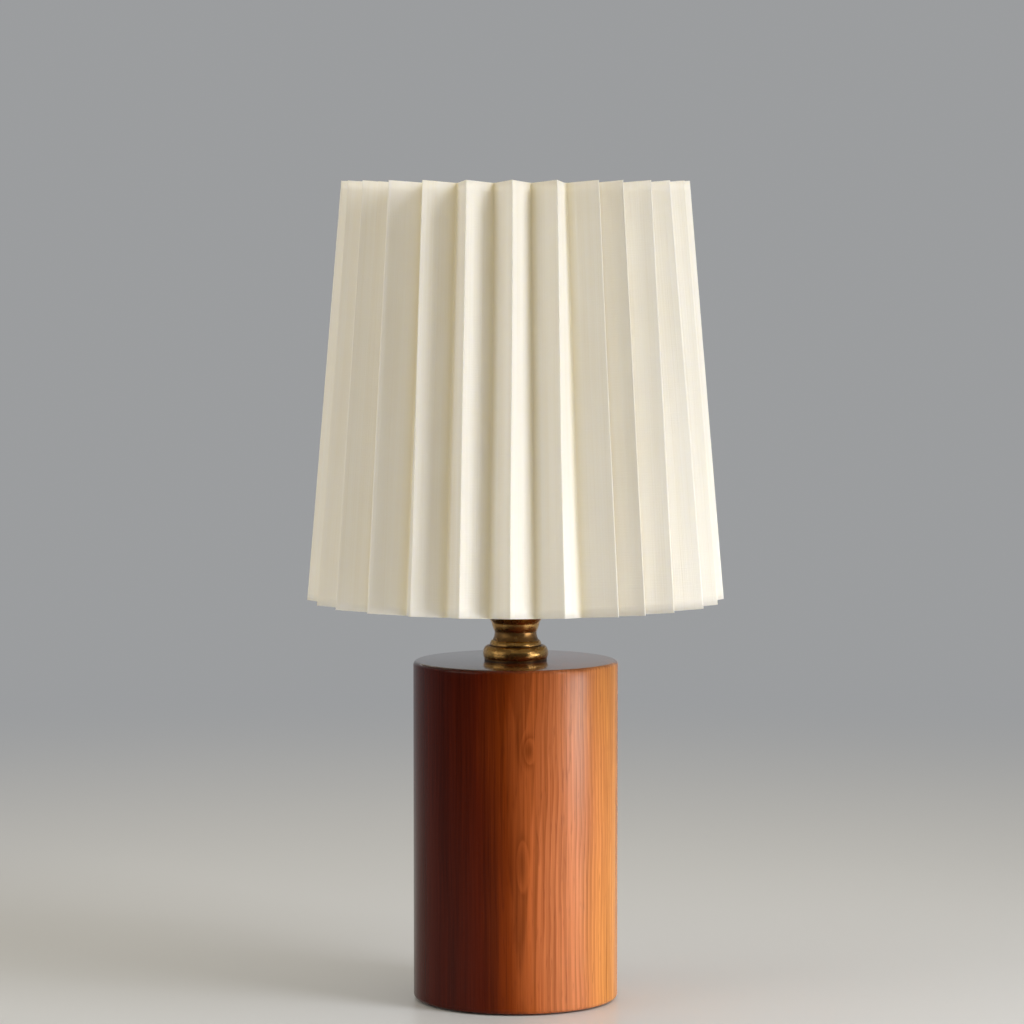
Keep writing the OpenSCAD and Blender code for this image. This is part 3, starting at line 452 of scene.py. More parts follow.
def dress(material, names):
    """Puts the material in every slot of the CAD nodes of those names."""
    for name in names.split():
        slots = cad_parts[name].data.materials
        for k in range(len(slots)):
            slots[k] = material
        if not slots:
            slots.append(material)


def laid(shape, axis, height):
    """The turned shape with its axis laid along +X (axis 0) or +Y (axis 1) at that height: z changes
    places with that coordinate, and the new z is the height less the old one."""
    points, faces = shape[0].copy(), shape[1]
    points[:, [axis, 2]] = points[:, [2, axis]]
    points[:, 2] = height - points[:, 2]
    return points, faces


black_moulding = moulded("black_moulding", (0.012, 0.011, 0.010), (0.03, 0.027, 0.024))
plain_brass = metal("plain_brass", (0.58, 0.40, 0.16), (0.74, 0.54, 0.25), 0.25, 0.4)

bush_outline = eased([
    (3.1, 36.4), (3.9, 36.4), (3.9, 48.4), (7.0, 48.4), (7.0, 50.9), (6.5, 51.4), (4.0, 51.4),
    (3.1, 50.5)], 0.45)
new_piece("outlet_bush_moulded", laid(lathed(bush_outline, 96), 1, OUTLET_Z), black_moulding, "stand",
          "black_moulding", "outlet_bush")
dress(plain_brass, "outlet_nipple outlet_nut")


# Rod tube and clamping stack: a threaded brass tube up through the wood and the neck, with a wide
# zinc plated washer, a toothed lock washer and a brass nut in the recess. They pull it all together.

zinc_plate = metal("zinc_plate", (0.50, 0.51, 0.53), (0.68, 0.69, 0.70), 0.28, 0.42)
dress(plain_brass, "rod_tube clamp_nut neck_nut")
dress(zinc_plate, "clamp_washer lock_washer")


# Brass neck: turned from bar as a foot bead, a small bead, a waist, a band and a flared cup, then
# darkened with a chemical patina and rubbed back, which leaves gold on the crests and brown in the
# grooves. The rod tube's nut in the cup holds it on the wood.

def neck_outline():
    """The neck's closed outline. Beads are arcs, the waist's radius falls as (1 - t)^2.5, the band's
    grows evenly with a bulge of sin(pi u), and the cup's grows as s^1.2. The cup's inside is its
    outside moved in by the wall."""
    t, u, s = np.linspace(0, 1, 12), np.linspace(0.03, 0.97, 18), np.linspace(0, 1, 20)
    waist = np.stack([10.25 + 0.8 * (1 - t) ** 2.5, 10.4 + 3.75 * t], -1)
    band = np.stack([10.4 + 1.25 * u + 0.15 * np.sin(np.pi * u), 14.4 + 4.0 * u], -1)
    flare = np.stack([11.65 + 8.15 * s ** 1.2, 18.4 + 9.1 * s], -1)
    wall, cup_floor = 1.5, 19.6
    inner = flare[flare[:, 1] > cup_floor + 0.1][::-1] - (wall, 0)
    return np.concatenate([
        [(15.25, 0)], arc(13.7, 3.65, 2.2, 3.65, -45, 90, 22), [(12.3, 7.33), (12.2, 7.5)],
        arc(10.9, 7.55, 1.7, 2.6, 4, 84, 14), waist, band, flare[1:],
        arc(19.3, 27.5, 0.5, 0.5, 20, 90, 4), arc(18.8, 27.5, 0.5, 0.5, 90, 180, 4), inner,
        [(5.1, cup_floor), (5.1, 0)]])


def sunk(outline, reach=2.2, depth=0.8):
    """How far each point of a closed outline lies in a groove, from 0 to 1: the mean radius of the
    points round it, weighted by exp(-(distance / reach)^2), less its own radius."""
    gap = np.linalg.norm(outline[:, None] - outline[None], axis=-1)
    weight = np.exp(-(gap / reach) ** 2)
    return np.clip((weight @ outline[:, 0] / weight.sum(axis=1) - outline[:, 0]) / depth, 0, 1)


antique_brass, tree, shader = new_material("antique_brass")
roughness, height, smudge = worn(tree, 160, 0.2, 0.32)
# The groove attribute is patina in the hollows, and on the neck also a painted shade under the foot.
groove = add_node(tree, "Attribute", attribute_name="groove").outputs["Fac"]
film = total(tree, groove, span(tree, smudge, 0.35, 0.75, 0.0, 0.4))
lathe_lines, _ = streaks_in(tree, place(tree, (0.02, 0.02, 1.0)), 1.0, 5200, 2.0)
feed(tree, shader,
     Base_Color=colour_steps(tree, film, (0.0, (0.61, 0.365, 0.12)), (0.4, (0.32, 0.175, 0.060)),
                             (0.95, (0.045, 0.027, 0.016))),
     Metallic=span(tree, film, 0.55, 1.0, 1.0, 0.55),
     Roughness=total(tree, roughness, span(tree, film, 0.3, 1.0, 0.0, 0.25)),
     Normal=bumped(tree, total(tree, height, product(tree, lathe_lines, 0.2)), 0.000012))


def patinated(name, shape, node, dark, crease=35):
    """A piece of the stand in patinated brass. dark says how far the points of its outline, or of all
    of it, lie in a groove, where patina gathers. On the neck it also holds a painted shade under the foot."""
    new_piece(name, shape, antique_brass, "stand", "antique_brass", node, crease=crease,
              groove=np.resize(dark, len(shape[0])))


neck = neck_outline()
# Patina in the grooves, and a painted shade darkening the foot's lowest 1.5 mm where it sits on the wood.
patina_and_painted_shade = np.maximum(sunk(neck), 0.9 * np.clip((1.5 - neck[:, 1]) / 1.2, 0, 1))
patinated("brass_neck_turned", lathed(neck + (0, WOOD_TOP), 192), "brass_neck", patina_and_painted_shade, crease=40)


# Lampholder casing: a deep drawn brass cup that screws on the rod tube and is locked there by a grub
# screw. It has the same patina as the neck. A hexagon collar at its side carries the switch shaft,
# and the moulded switch block with its contacts sits inside.

def six_sided(corner, sides):
    """Radius of a hexagon at each angle: corner cos 30 / cos(a - 30), with a taken within 60."""
    a = np.linspace(0, 360, sides, endpoint=False) % 60
    return corner * np.cos(np.radians(30)) / np.cos(np.radians(a - 30))


casing = eased([
    (5.05, 189.7), (7.5, 189.7), (16.4, 193.6), (17.4, 194.8), (18.7, 194.8), (19.2, 195.3),
    (19.2, 216.8), (18.0, 216.8), (18.0, 197.8), (5.05, 197.8)], 0.35)
patinated("holder_casing_drawn", lathed(casing, 160), "holder_casing", sunk(casing, 1.2, 0.6))

# The collar's outline starts as its hexagon flange and goes on as a round sleeve.
switch_z = 205.55
collar_sides, flange = 96, slice(1, 5)
collar = np.array([
    (2.1, 19.3), (5.1, 19.3), (5.5, 19.55), (5.5, 20.5), (5.1, 20.8), (4.1, 20.8), (4.0, 20.95),
    (4.0, 23.0), (3.7, 23.3), (2.1, 23.3)])
collar_radii = np.tile(collar[:, 0], (collar_sides, 1))
collar_radii[:, flange] = np.minimum(collar[flange, 0], six_sided(5.5, collar_sides)[:, None])
patinated("switch_collar_turned", laid(turned(collar_radii, collar[:, 1], collar_sides), 0, switch_z),
          "switch_collar", sunk(collar, 1.0, 0.6), crease=25)

brown_moulding = moulded("brown_moulding", (0.028, 0.011, 0.005), (0.075, 0.031, 0.014))
copper_strip = metal("copper_strip", (0.60, 0.30, 0.16), (0.78, 0.44, 0.26), 0.25, 0.4)
dress(zinc_plate, "casing_grub_screw earth_screw")
dress(brown_moulding, "switch_block")
dress(copper_strip, "switch_contacts centre_contact")
dress(plain_brass, "terminal_screws")


# Porcelain insert and screw shell: a white glazed porcelain cup that carries the contacts, and the
# brass screw shell that is pressed into it and takes the lamp's thread.

porcelain, tree, shader = new_material(
    "porcelain", Specular_IOR_Level=0.5, Coat_Weight=0.6, Coat_Roughness=0.08)
roughness, height, _ = worn(tree, 60, 0.12, 0.22)
specks = noise(tree, place(tree), 900, 2.0)
feed(tree, shader, Roughness=roughness, Normal=bumped(tree, height, 0.00005),
     Base_Color=colour_steps(tree, specks, (0.3, (0.74, 0.72, 0.66)), (0.42, (0.82, 0.80, 0.75)),
                             (1.0, (0.85, 0.84, 0.80))))

insert_outline = eased([
    (0, 213.3), (16.5, 213.3), (16.5, 244.5), (14.15, 244.5), (14.15, 217.3), (0, 217.3)],
    0.5, closed=False)
new_piece("porcelain_insert_glazed", lathed(insert_outline, 128, closed=False), porcelain, "stand",
          "porcelain", "porcelain_insert")

LAMP_PITCH = 3.62857


def lamp_thread(mean, heights, sides, wave=0.5):
    """Radii of the rounded lamp thread: mean + wave cos(2 pi z / pitch - a), for angle a, height z."""
    a = np.linspace(0, 2 * np.pi, sides, endpoint=False)[:, None]
    return mean + wave * np.cos(2 * np.pi * heights / LAMP_PITCH - a)


shell_up = np.linspace(217.6, 238.6, 71)
shell_z = np.concatenate([shell_up, shell_up[::-1]])
shell_radii = lamp_thread(np.repeat([13.35, 12.95], len(shell_up)), shell_z, 128)
new_piece("screw_shell_pressed", turned(shell_radii, shell_z, 128), plain_brass, "stand", "plain_brass",
          "screw_shell", crease=60)


# Threaded skirt: the brass upper half of the lampholder, which pushes into the casing and holds the
# porcelain down under its lip. A coarse thread is rolled round it for the two shade rings.

def skirt_shape(sides=128):
    """The skirt's outline, with its outside radius root + depth * h(u) in the threaded length, where
    u is the fraction of z / pitch - a / 360, and h rises from 0 to 1 until u = 0.3, stays until 0.55,
    and falls to 0 at 0.85. The thread runs out over one pitch at both ends, and is dark between its
    ridges."""
    root, depth, pitch, start, end = 18.6, 0.55, 2.5, 219.4, 241.5
    rest = eased([(18.6, 245.9), (17.8, 246.8), (14.75, 246.8), (14.75, 244.8), (16.6, 244.8), (16.6, 213.0),
                  (17.9, 213.0), (17.9, 217.1), (19.2, 217.1), (19.2, 218.5), (18.6, 219.1)], 0.3)
    r, z = np.concatenate([np.linspace((root, start), (root, end), 107), rest]).T
    u = (z / pitch - np.linspace(0, 1, sides, endpoint=False)[:, None]) % 1
    ends = np.clip(np.minimum(z - start, end - z) / pitch, 0, 1)
    ridge = np.clip(np.minimum(u / 0.3, (0.85 - u) / 0.3), 0, 1) * ends
    dark = 0.7 * (1 - ridge) * ((start <= z) & (z <= end))
    return turned(r + depth * ridge, z, sides), dark.ravel()


skirt, between_ridges = skirt_shape()
patinated("holder_skirt_threaded", skirt, "holder_skirt", between_ridges)


# Shade rings: two brown moulded rings with finger notches, screwed on the skirt. The lower one sets
# the height of the shade and the upper one clamps the hub of its frame.

def notched(outline, count, centre, r, sides, closed=True):
    """The outline turned about Z, with that many round notches. At the angle d from a notch's middle
    its outside can't pass centre cos d - sqrt(r^2 - (centre sin d)^2), the near side of a circle of
    radius r."""
    step = 2 * np.pi / count
    d = (np.linspace(0, 2 * np.pi, sides, endpoint=False) + step / 2) % step - step / 2
    beside = centre * np.sin(d)
    near = centre * np.cos(d) - np.sqrt(np.maximum(r ** 2 - beside ** 2, 0))
    radii = np.minimum(outline[:, 0], np.where(np.abs(beside) < r, near, np.inf)[:, None])
    return turned(radii, outline[:, 1], sides, closed)


ring_outline = eased([
    (20.0, 0), (23.7, 0), (24.5, 0.8), (24.5, 3.2), (23.7, 4.0), (20.0, 4.0), (19.5, 3.5),
    (19.5, 0.5)], 0.3)
for level, z in (("lower", 221.8), ("upper", 227.9)):
    new_piece(level + "_shade_ring_moulded", notched(ring_outline + (0, z), 24, 24.85, 1.0, 384),
              brown_moulding, level + "_ring", "brown_moulding", level + "_shade_ring", crease=25)


# Turn switch: a steel shaft comes out through the collar at the right of the casing and ends in a
# moulded knob with ten flutes. Inside, it turns a cam between the two contact blades.

shaft_outline = eased([(0, 12.1), (2, 12.1), (2, 29.7), (0, 29.7)], 0.2, closed=False)
new_piece("switch_shaft_turned", laid(lathed(shaft_outline, 64, closed=False), 0, switch_z), zinc_plate,
          "switch", "zinc_steel", "switch_shaft")
knob_outline = np.concatenate([[(0, 30.0), (2.05, 30.0)], eased(
    [(2.05, 23.7), (6.3, 23.7), (6.5, 23.9), (6.5, 33.7), (5.5, 34.7), (0, 34.7)], 0.5, closed=False)])
new_piece("switch_knob_fluted", laid(notched(knob_outline, 10, 7.2, 1.4, 200, closed=False), 0, switch_z),
          brown_moulding, "switch", "brown_moulding", "switch_knob", crease=30)
dress(black_moulding, "switch_cam")


# Shade frame: two rings of 3 mm steel wire, three arms welded from the lower ring to a flat hub
# plate, all powder coated off-white. The hub lies between the two shade rings on the skirt.

def joined(shapes):
    """Several shapes of as many points each as one: their points in a row, and each one's face
    numbers moved up."""
    points, faces = (np.array(each) for each in zip(*shapes))
    faces += np.arange(len(shapes))[:, None, None] * points.shape[1]
    return points.reshape(-1, 3), faces.reshape(-1, 4)


def wire_ring(r, z):
    """A ring of wire: a circle of radius 1.5 about (r, z), turned about the lamp's axis."""
    a = np.linspace(0, 2 * np.pi, 24, endpoint=False)
    return turned(r + 1.5 * np.cos(a), z + 1.5 * np.sin(a), 256)


def arm(angle):
    """A straight wire from the hub's edge to the lower ring, a tube about the line between two points
    whose radius swells from 1.5 to 1.9 into the weld at each end."""
    turn = np.radians(angle)
    outwards, beside = np.array([np.cos(turn), np.sin(turn), 0]), np.array([-np.sin(turn), np.cos(turn), 0])
    start, end = 24.9 * outwards + (0, 0, 226.85), 83.6 * outwards + (0, 0, 201.25)
    reach = np.linalg.norm(end - start)
    along = (end - start) / reach
    above = np.cross(along, beside)
    sides = 20
    t = np.concatenate([[0, 0, 0.4, 1, 2], np.linspace(4, reach - 4, 10),
                        [reach - 2, reach - 1, reach, reach]])
    r = 1.5 + 0.4 * np.exp(-np.minimum(t, reach - t) / 0.9)
    r[[0, -1]] = 0
    a = np.linspace(0, 2 * np.pi, sides, endpoint=False)[:, None, None]
    points = start + along * t[None, :, None] + r[None, :, None] * (beside * np.cos(a) + above * np.sin(a))
    number = np.arange(sides * len(t)).reshape(sides, len(t))
    number[:, 0], number[:, -1] = 0, len(t) - 1
    return points.reshape(-1, 3), number.ravel()[grid_faces(sides, len(t), True, False)]


white_enamel, tree, shader = new_material("white_enamel", Specular_IOR_Level=0.5)
roughness, height, smudge = worn(tree, 80, 0.3, 0.42)
peel = noise(tree, place(tree), 1400, 2.0)
feed(tree, shader, Roughness=roughness,
     Base_Color=colour_steps(tree, smudge, (0.3, (0.70, 0.68, 0.62)), (0.7, (0.80, 0.79, 0.75))),
     Normal=bumped(tree, total(tree, peel, height), 0.00004))

hub_outline = eased([(19.5, 226.1), (25.5, 226.1), (25.5, 227.6), (19.5, 227.6)], 0.35)
for node, shape in (
        ("shade_bottom_wire", wire_ring(84.7, 200.7)), ("shade_top_wire", wire_ring(66.6, 393.2)),
        ("shade_arms", joined([arm(30), arm(150), arm(270)])), ("shade_hub", lathed(hub_outline, 160))):
    new_piece(node + "_coated", shape, white_enamel, "shade", "white_enamel", node)


# Shade cover: one strip of cream cloth laminated on white sheet, folded by hand into 27 standing
# pleats of 18.6 mm panels and glued to the two wire rings at its inner folds. Its ends lap over one
# panel at the back. The plain cut edges show at the top and bottom.

PANEL, PLEATS = 18.6, 27
OUTER_CREASE, INNER_CREASE = 0.8, 1.3
FRONT_FOLDS_BELOW = [-87, -70, -56.5, -43, -29, -15, -1.5, 13, 27.5, 35.5, 46.5, 60.5, 73, 90]
FRONT_FOLDS_ABOVE = [-88, -72, -59, -45, -31, -16, -1, 13, 27, 36, 48.5, 59.5, 74, 90]


def strip_folds(front, even_d, z, dip):
    """The strip's folds along one edge, outer and inner by turns, as points. The outer ones stand at
    the front angles, and at even steps behind. Each inner one stands midway between two outer
    ones, on one circle, lower by the dip. The outer radius makes every panel 18.6 wide:
    r_in cos h + sqrt(18.6^2 - (r_in sin h)^2), where h is half the angle between the inner folds."""
    front = np.asarray(front, float)
    behind = PLEATS - len(front)
    outer = np.concatenate([front, 90 + np.arange(1, behind + 1) * (270 + front[0]) / (behind + 1)])
    inner = (outer + np.append(outer[1:], outer[0] + 360)) / 2
    even = np.pi / PLEATS
    r_in = even_d / 2 * np.cos(even) - np.sqrt(PANEL ** 2 - (even_d / 2 * np.sin(even)) ** 2)
    half = np.radians(inner - np.append(inner[-1] - 360, inner[:-1])) / 2
    r_out = r_in * np.cos(half) + np.sqrt(PANEL ** 2 - (r_in * np.sin(half)) ** 2)
    angle = np.radians(np.stack([outer, inner], -1).ravel())
    r = np.stack([r_out, np.full(PLEATS, r_in)], -1).ravel()
    return np.stack([r * np.sin(angle), -r * np.cos(angle), z - dip * (np.arange(2 * PLEATS) % 2)], -1)


def cover_shape(rows=44):
    """The folded strip as a grid of heights by places along the strip. A straight panel runs from
    fold to fold. Within 0.8 of an outer fold, or 1.3 of an inner one, it follows the curve
    F + (A - F) g (1 - s)^2 + (B - F) g s^2, with A and B the neighbouring folds and g that length
    over the panel's. Every panel bows a little, by b 4 t (1 - t) across it, and each fold sways by
    sines of the height, as cloth does that was creased by hand."""
    bottom = strip_folds(FRONT_FOLDS_BELOW, 206.0, 196.5, 1.30)
    top = strip_folds(FRONT_FOLDS_ABOVE, 170.5, 400.1, 1.42)
    # The strip starts at a fold behind, goes round and ends with one more panel that laps over its first.
    panels, start, most_sway, most_bow = 2 * PLEATS, 40, 0.22, 0.35
    order = (start + np.arange(panels + 2)) % panels
    v = np.linspace(0, 1, rows)[:, None, None]
    folds = bottom[order] * (1 - v) + top[order] * v
    chance = np.random.default_rng(11)
    phase, swing = chance.uniform(0, 2 * np.pi, (2, panels)), chance.uniform(0.3, 1.0, (2, panels))
    sway = sum(most_sway * swing[k] * np.sin(phase[k] + (3.1 + 2.7 * k) * v[:, :, 0])
               for k in range(2))[:, order]
    radial = folds * (1, 1, 0) / np.linalg.norm(folds[:, :, :2], axis=-1, keepdims=True)
    beside = np.cross(radial, (0, 0, 1))
    folds = folds + beside * sway[..., None]
    lap_out, lap_back = np.array([[0.75], [0.35]]), np.array([[0], [0.75]])
    folds[:, panels:] += radial[:, panels:] * lap_out - beside[:, panels:] * lap_back

    # Columns of points along the strip: the fold that each belongs to, its share of the way to the next
    # fold, and the weights of the folds before and after. The strip's two ends aren't rounded.
    straight = np.linspace(0, 1, 10)[1:-1]
    columns = []
    for k in range(panels + 2):
        reach, ahead = np.roll([OUTER_CREASE, INNER_CREASE], k) / PANEL
        s, g = (np.linspace(0, 1, 5), reach) if 0 < k < panels + 1 else (np.array([0.5]), 0)
        columns.append([0 * s + k, g * (s - 0.5), g * (1 - s) ** 2, g * s ** 2])
        if k <= panels:
            run = reach + (1 - reach - ahead) * straight
            columns.append([0 * run + k, run, 0 * run, run])
    at, share, before, after = np.concatenate(columns, axis=1)
    at = at.astype(int)
    here, following = folds[:, at], folds[:, np.minimum(at + 1, panels + 1)]
    points = (here + (folds[:, np.maximum(at - 1, 0)] - here) * before[:, None]
              + (following - here) * after[:, None])

    side = following - here
    normal = np.cross(side, (0, 0, 1)) / PANEL
    bow = chance.uniform(-most_bow, most_bow, (2, panels + 2))
    amount = bow[0][None] * (1 - v[:, :, 0]) + bow[1][None] * v[:, :, 0]
    amount = amount[:, at] * 4 * share * (1 - share) * (before == 0)
    points = points + normal * amount[..., None]

    strip_height = 204.4
    uv = np.stack(np.broadcast_arrays((at + share)[None] * PANEL, v[:, :, 0] * strip_height), -1) * 0.001
    crest = np.abs((at + share + 1) % 2 - 1)
    faces = grid_faces(rows, len(at), False, False)
    return (points.reshape(-1, 3), faces), uv.reshape(-1, 2), np.tile(crest, rows)


cream_cloth, tree, shader = new_material(
    "cream_cloth", Specular_IOR_Level=0.25, Subsurface_Weight=0.3, Subsurface_Scale=0.002,
    Subsurface_Radius=(1.0, 0.85, 0.55), Sheen_Weight=0.1, Sheen_Roughness=0.5)
flat = place(tree, source="UV")
upright = add_node(tree, "CombineXYZ",
                   {0: coordinate(tree, "X", flat), 2: coordinate(tree, "Y", flat)}).outputs[0]
yarns, _ = streaks_in(tree, upright, 1500, 9, 3.0)
bands, _ = streaks_in(tree, upright, 210, 3, 2.0)
crossing, _ = streaks_in(tree, place(tree, (0.02, 1, 1), source="UV"), 1900, 1.0, 2.0)
stain = noise(tree, upright, 22, 3.0)
cloth_tone = total(tree, span(tree, yarns, 0.25, 0.75, 0.0, 0.4), span(tree, bands, 0.3, 0.7, 0.0, 0.35),
                   span(tree, stain, 0.3, 0.7, 0.0, 0.25))
# from_crest runs from 0 at an outer fold to 1 at an inner fold. Near each inner fold the cream turns tan:
# painted shade in the valleys between the pleats.
from_crest = add_node(tree, "Attribute", attribute_name="from_crest").outputs["Fac"]
cream = colour_steps(tree, cloth_tone, (0.0, (0.86, 0.815, 0.72)), (0.5, (0.905, 0.875, 0.805)),
                     (1.0, (0.93, 0.915, 0.87)))
feed(tree, shader,
     Base_Color=tint(tree, span(tree, from_crest, 0.7, 1.0, 0.0, 0.5), cream, (0.80, 0.70, 0.46, 1)),
     Roughness=span(tree, yarns, 0.3, 0.7, 0.62, 0.78),
     Normal=bumped(tree, total(tree, yarns, product(tree, crossing, 0.5)), 0.00009))

lining, tree, shader = new_material(
    "white_lining", Specular_IOR_Level=0.4, Subsurface_Weight=0.2, Subsurface_Scale=0.002,
    Subsurface_Radius=(1.0, 0.9, 0.7))
fleck = noise(tree, place(tree, source="UV"), 700, 5.0, 0.65)
feed(tree, shader, Roughness=span(tree, fleck, 0.3, 0.7, 0.4, 0.52), Normal=bumped(tree, fleck, 0.00003),
     Base_Color=colour_steps(tree, fleck, (0.3, (0.80, 0.78, 0.72)), (0.7, (0.86, 0.85, 0.80))))

folded, strip_uv, from_crest_values = cover_shape()
cover = new_piece("pleated_cover", folded, (cream_cloth, lining), "shade", "shade_cloth", "shade_cover",
                  crease=80, uv=strip_uv, from_crest=from_crest_values)
wall = cover.modifiers.new("sheet", "SOLIDIFY")
wall.thickness, wall.offset, wall.material_offset = 0.0005, -1, 1


# Candle lamp: a clear glass candle on a nickel plated screw cap, with four upright filament rods on
# thin wires round a glass stem. It screws into the shell, and its tip meets the centre contact.

nickel = metal("nickel_plate", (0.56, 0.55, 0.53), (0.70, 0.69, 0.67), 0.2, 0.32)
dress(nickel, "lamp_tip")
dress(zinc_plate, "lamp_wires")

# The cap's outline: its threaded length, the collar above it, and the inside back down.
threaded = np.linspace((12.6, 225.2), (12.6, 240.2), 51)
cap_r, cap_z = np.concatenate([threaded, [
    (12.35, 240.6), (12.6, 241.2), (12.6, 245.4), (13.0, 246.0), (13.0, 246.2), (12.5, 246.2),
    (11.8, 245.8), (11.75, 240.5), (11.6, 239.8), (11.6, 225.2)]]).T
wave = np.where(np.arange(len(cap_z)) < len(threaded), 0.5, 0)
new_piece("lamp_cap_rolled", turned(lamp_thread(cap_r, cap_z, 128, wave), cap_z, 128), nickel, "lamp",
          "lamp_metal", "lamp_cap", crease=50)

black_glass, tree, shader = new_material("black_glass", Specular_IOR_Level=0.6)
roughness, height, smudge = worn(tree, 140, 0.05, 0.16)
feed(tree, shader, Roughness=roughness, Normal=bumped(tree, height, 0.00002),
     Base_Color=colour_steps(tree, smudge, (0.3, (0.008, 0.008, 0.010)), (0.7, (0.022, 0.022, 0.026))))
dress(black_glass, "lamp_cap_glass")


GLASS_FOOT, GLASS_HEIGHT, GLASS_WALL = 246.2, 72, 0.8


def bulb_radius(z):
    """The glass's outline: straight at its foot, then swelling as u^2 (3 - 2u) up to its widest place,
    then the widest radius times (1 - u^2)^0.72 up to the point."""
    foot_r, foot_end, widest_r, widest_z = 11.5, 3, 18.3, 30.24
    rising = np.clip((z - foot_end) / (widest_z - foot_end), 0, 1)
    falling = np.clip((z - widest_z) / (GLASS_HEIGHT - widest_z), 0, 1)
    return np.where(z < widest_z, foot_r + (widest_r - foot_r) * rising ** 2 * (3 - 2 * rising),
                    widest_r * (1 - falling ** 2) ** 0.72)


clear_glass, tree, shader = new_material("clear_glass", IOR=1.5, Transmission_Weight=1.0)
film = noise(tree, place(tree), 45, 3.0)
feed(tree, shader, Roughness=span(tree, film, 0.3, 0.7, 0.0, 0.03), Normal=bumped(tree, film, 0.0002),
     Base_Color=colour_steps(tree, film, (0.3, (0.95, 0.97, 0.965)), (0.7, (0.985, 0.99, 0.99))))

up = 1 - (1 - np.linspace(0, 1, 60)) ** 1.8
outside_z, inside_z = GLASS_HEIGHT * up, (GLASS_HEIGHT - 1.2) * up
glass_radii = np.concatenate([
    bulb_radius(outside_z)[::-1], [11.3, 11.3, 10.9, 10.5],
    np.maximum(bulb_radius(outside_z) - GLASS_WALL, 0)])
glass_heights = GLASS_FOOT + np.concatenate([outside_z[::-1], [-0.2, -4.8, -5, -4.8], inside_z])
glass_radii[[0, -1]] = 0
new_piece("lamp_glass_blown", turned(glass_radii, glass_heights, 128, closed=False), clear_glass, "lamp",
          "clear_glass", "lamp_glass")
stem_t = np.linspace(0, 1, 12)
stem_outline = np.concatenate([
    [(0, 2.0), (10.2, 0.1), (10.4, 0.3)],
    np.stack([10.4 - 8.4 * np.sin(np.pi / 2 * stem_t), 1 + 8 * stem_t], -1),
    [(2.0, 15.6), (1.7, 16.6), (1.0, 17.0), (0, 17.0)]])
new_piece("lamp_stem_drawn", lathed(stem_outline + (0, GLASS_FOOT), 96, closed=False), clear_glass, "lamp",
          "clear_glass", "lamp_stem")

phosphor, tree, shader = new_material(
    "phosphor", Specular_IOR_Level=0.4, Subsurface_Weight=0.2, Subsurface_Scale=0.001)
grains = noise(tree, place(tree), 2600, 3.0)
feed(tree, shader, Roughness=span(tree, grains, 0.3, 0.7, 0.4, 0.6), Normal=bumped(tree, grains, 0.00005),
     Base_Color=colour_steps(tree, grains, (0.3, (0.74, 0.44, 0.06)), (0.7, (0.88, 0.58, 0.11))))
dress(phosphor, "lamp_filaments")


# Studio: a pale satin floor that fades into a mid grey surround, a tall key softbox at the right, a
# low gridded strip beside it for the upright reflection in the lacquer, a large warm softbox at the
# left and a weak fill behind.

BACKDROP = (0.33, 0.337, 0.345, 1)
DARK_SIDE = (0.045, 0.042, 0.04, 1)


def seen_directly(tree):
    """1 for the camera's own rays and for those that metal and glass send on, else 0."""
    path = add_node(tree, "LightPath").outputs
    either = arithmetic(tree, "MAXIMUM", path["Is Camera Ray"], path["Is Glossy Ray"])
    return arithmetic(tree, "MAXIMUM", either, path["Is Transmission Ray"])


def surround(tree):
    """The surround's grey. What lacquer and brass mirror of it is dark on the camera's side, where a
    studio has no light."""
    towards = add_node(tree, "VectorMath", {0: place(tree)}, operation="NORMALIZE").outputs[0]
    dark = span(tree, coordinate(tree, "Y", towards), 0.25, -0.45)
    mirrored = add_node(tree, "LightPath").outputs["Is Glossy Ray"]
    return tint(tree, product(tree, mirrored, dark), BACKDROP, DARK_SIDE)


def blend(tree, factor, first, second, output):
    """The first shader turned into the second by the factor, at the tree's output."""
    mixed = add_node(tree, "MixShader", {0: factor, 1: first.outputs[0], 2: second.outputs[0]})
    tree.links.new(mixed.outputs[0], tree.nodes[output].inputs["Surface"])


floor_material, tree, shader = new_material("pale_floor", Specular_IOR_Level=0.25)
mottle = noise(tree, place(tree), 3.0, 3.0)
feed(tree, shader, Roughness=span(tree, mottle, 0, 1, 0.28, 0.32),
     Base_Color=colour_steps(tree, mottle, (0.0, (0.69, 0.71, 0.745)), (1.0, (0.715, 0.735, 0.77))))
fade = span(tree, length_of(tree, place(tree)), 0.25, 1.3, course="SMOOTHSTEP")
glow = add_node(tree, "Emission", {"Color": surround(tree), "Strength": 1.0})
blend(tree, product(tree, fade, seen_directly(tree)), shader, glow, "Material Output")

floor_r, floor_z, floor_a = 9, -0.0002, np.linspace(0, 2 * np.pi, 96, endpoint=False)
floor_points = np.stack([floor_r * np.cos(floor_a), floor_r * np.sin(floor_a), 0 * floor_a + floor_z], -1)
floor_mesh = bpy.data.meshes.new("floor")
floor_mesh.from_pydata(floor_points.tolist(), [], [list(range(len(floor_a)))])
floor_mesh.materials.append(floor_material)
floor = bpy.data.objects.new("floor", floor_mesh)
scene.collection.objects.link(floor)

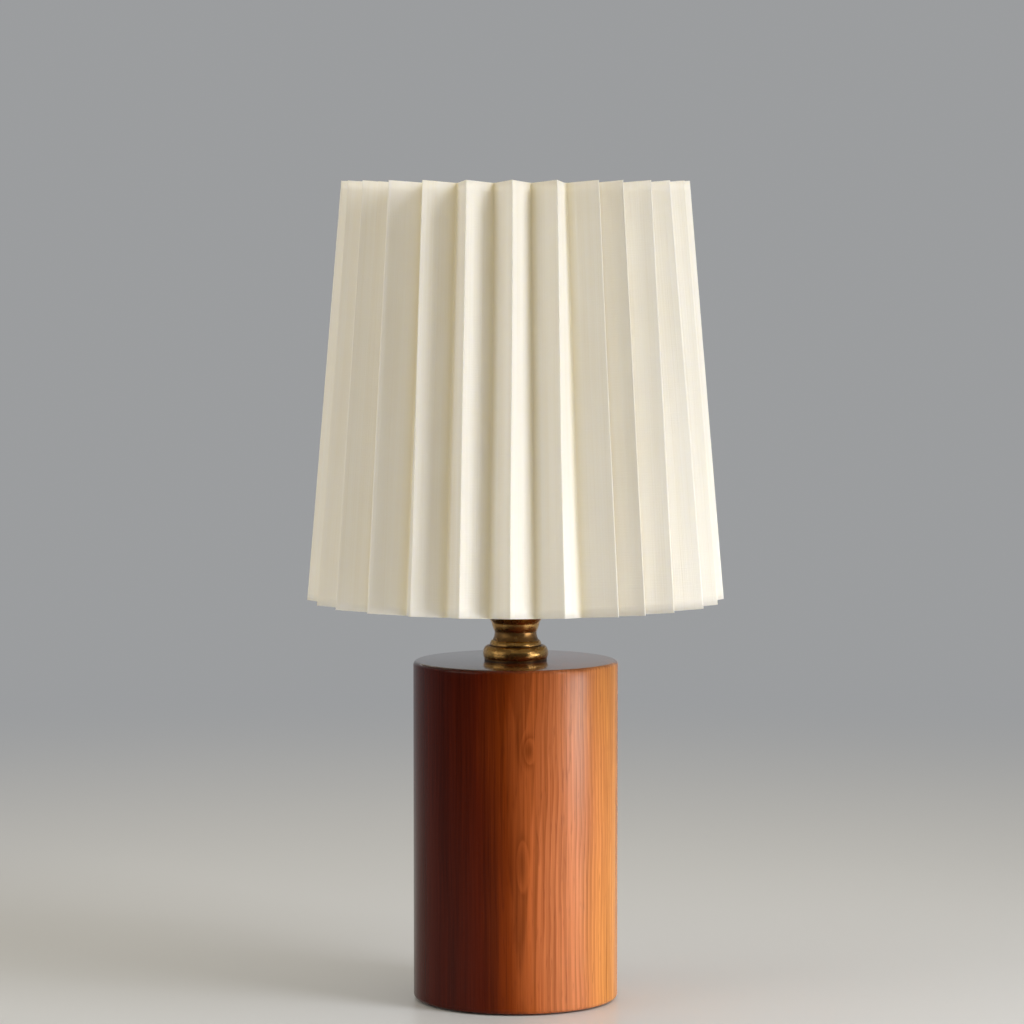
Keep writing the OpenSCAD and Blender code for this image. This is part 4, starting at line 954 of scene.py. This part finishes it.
world = bpy.data.worlds.new("surround")
scene.world = world
world.use_nodes = True
tree = world.node_tree
ambient = tree.nodes["Background"]
ambient.inputs["Color"].default_value = (1.0, 0.89, 0.68, 1)
ambient.inputs["Strength"].default_value = 0.495
plain = add_node(tree, "Background", {"Color": surround(tree), "Strength": 1.0})
blend(tree, seen_directly(tree), ambient, plain, "World Output")


def soft_light(name, azimuth, elevation, distance, width, height, power, colour, aim=(0, 0, 0.2),
               fan=180):
    """A rectangular area light at the azimuth from the front towards the right, and the elevation
    above the aim, turned to face it. The light leaves it within the fan's angle, as from a gridded
    softbox. The camera doesn't see it, but glossy surfaces do."""
    a, e = np.radians(azimuth), np.radians(elevation)
    offset = Vector((np.sin(a) * np.cos(e), -np.cos(a) * np.cos(e), np.sin(e))) * distance
    data = bpy.data.lights.new(name, "AREA")
    data.shape, data.size, data.size_y, data.energy, data.color = "RECTANGLE", width, height, power, colour
    data.spread = np.radians(fan)
    lamp = bpy.data.objects.new(name, data)
    lamp.location = Vector(aim) + offset
    lamp.rotation_euler = (-offset).to_track_quat("-Z", "Y").to_euler()
    lamp.visible_camera = False
    scene.collection.objects.link(lamp)


soft_light("key", 57, 32, 1.25, 0.42, 1.1, 9.4, (1.0, 1.0, 1.0))
soft_light("low_strip", 73, 0, 0.8, 0.66, 0.12, 0.35, (1.0, 0.98, 0.96), aim=(0, 0, 0.062), fan=42)
soft_light("left_softbox", -63, 24, 1.4, 1.0, 1.2, 4.5, (1.0, 0.95, 0.86))
soft_light("back_fill", -160, 38, 1.6, 1.2, 1.2, 3.0, (1.0, 0.98, 0.94))

camera_data = bpy.data.cameras.new("camera")
camera_data.lens, camera_data.sensor_width = 149.5, 36
camera_data.clip_start, camera_data.clip_end = 0.05, 60
camera = bpy.data.objects.new("camera", camera_data)
camera_tilt = 4.19
camera.location = (-0.00176, -2.068, 0.3905)
camera.rotation_euler = (np.radians(90 - camera_tilt), 0, 0)
scene.collection.objects.link(camera)
scene.camera = camera
scene.view_settings.view_transform = "Standard"
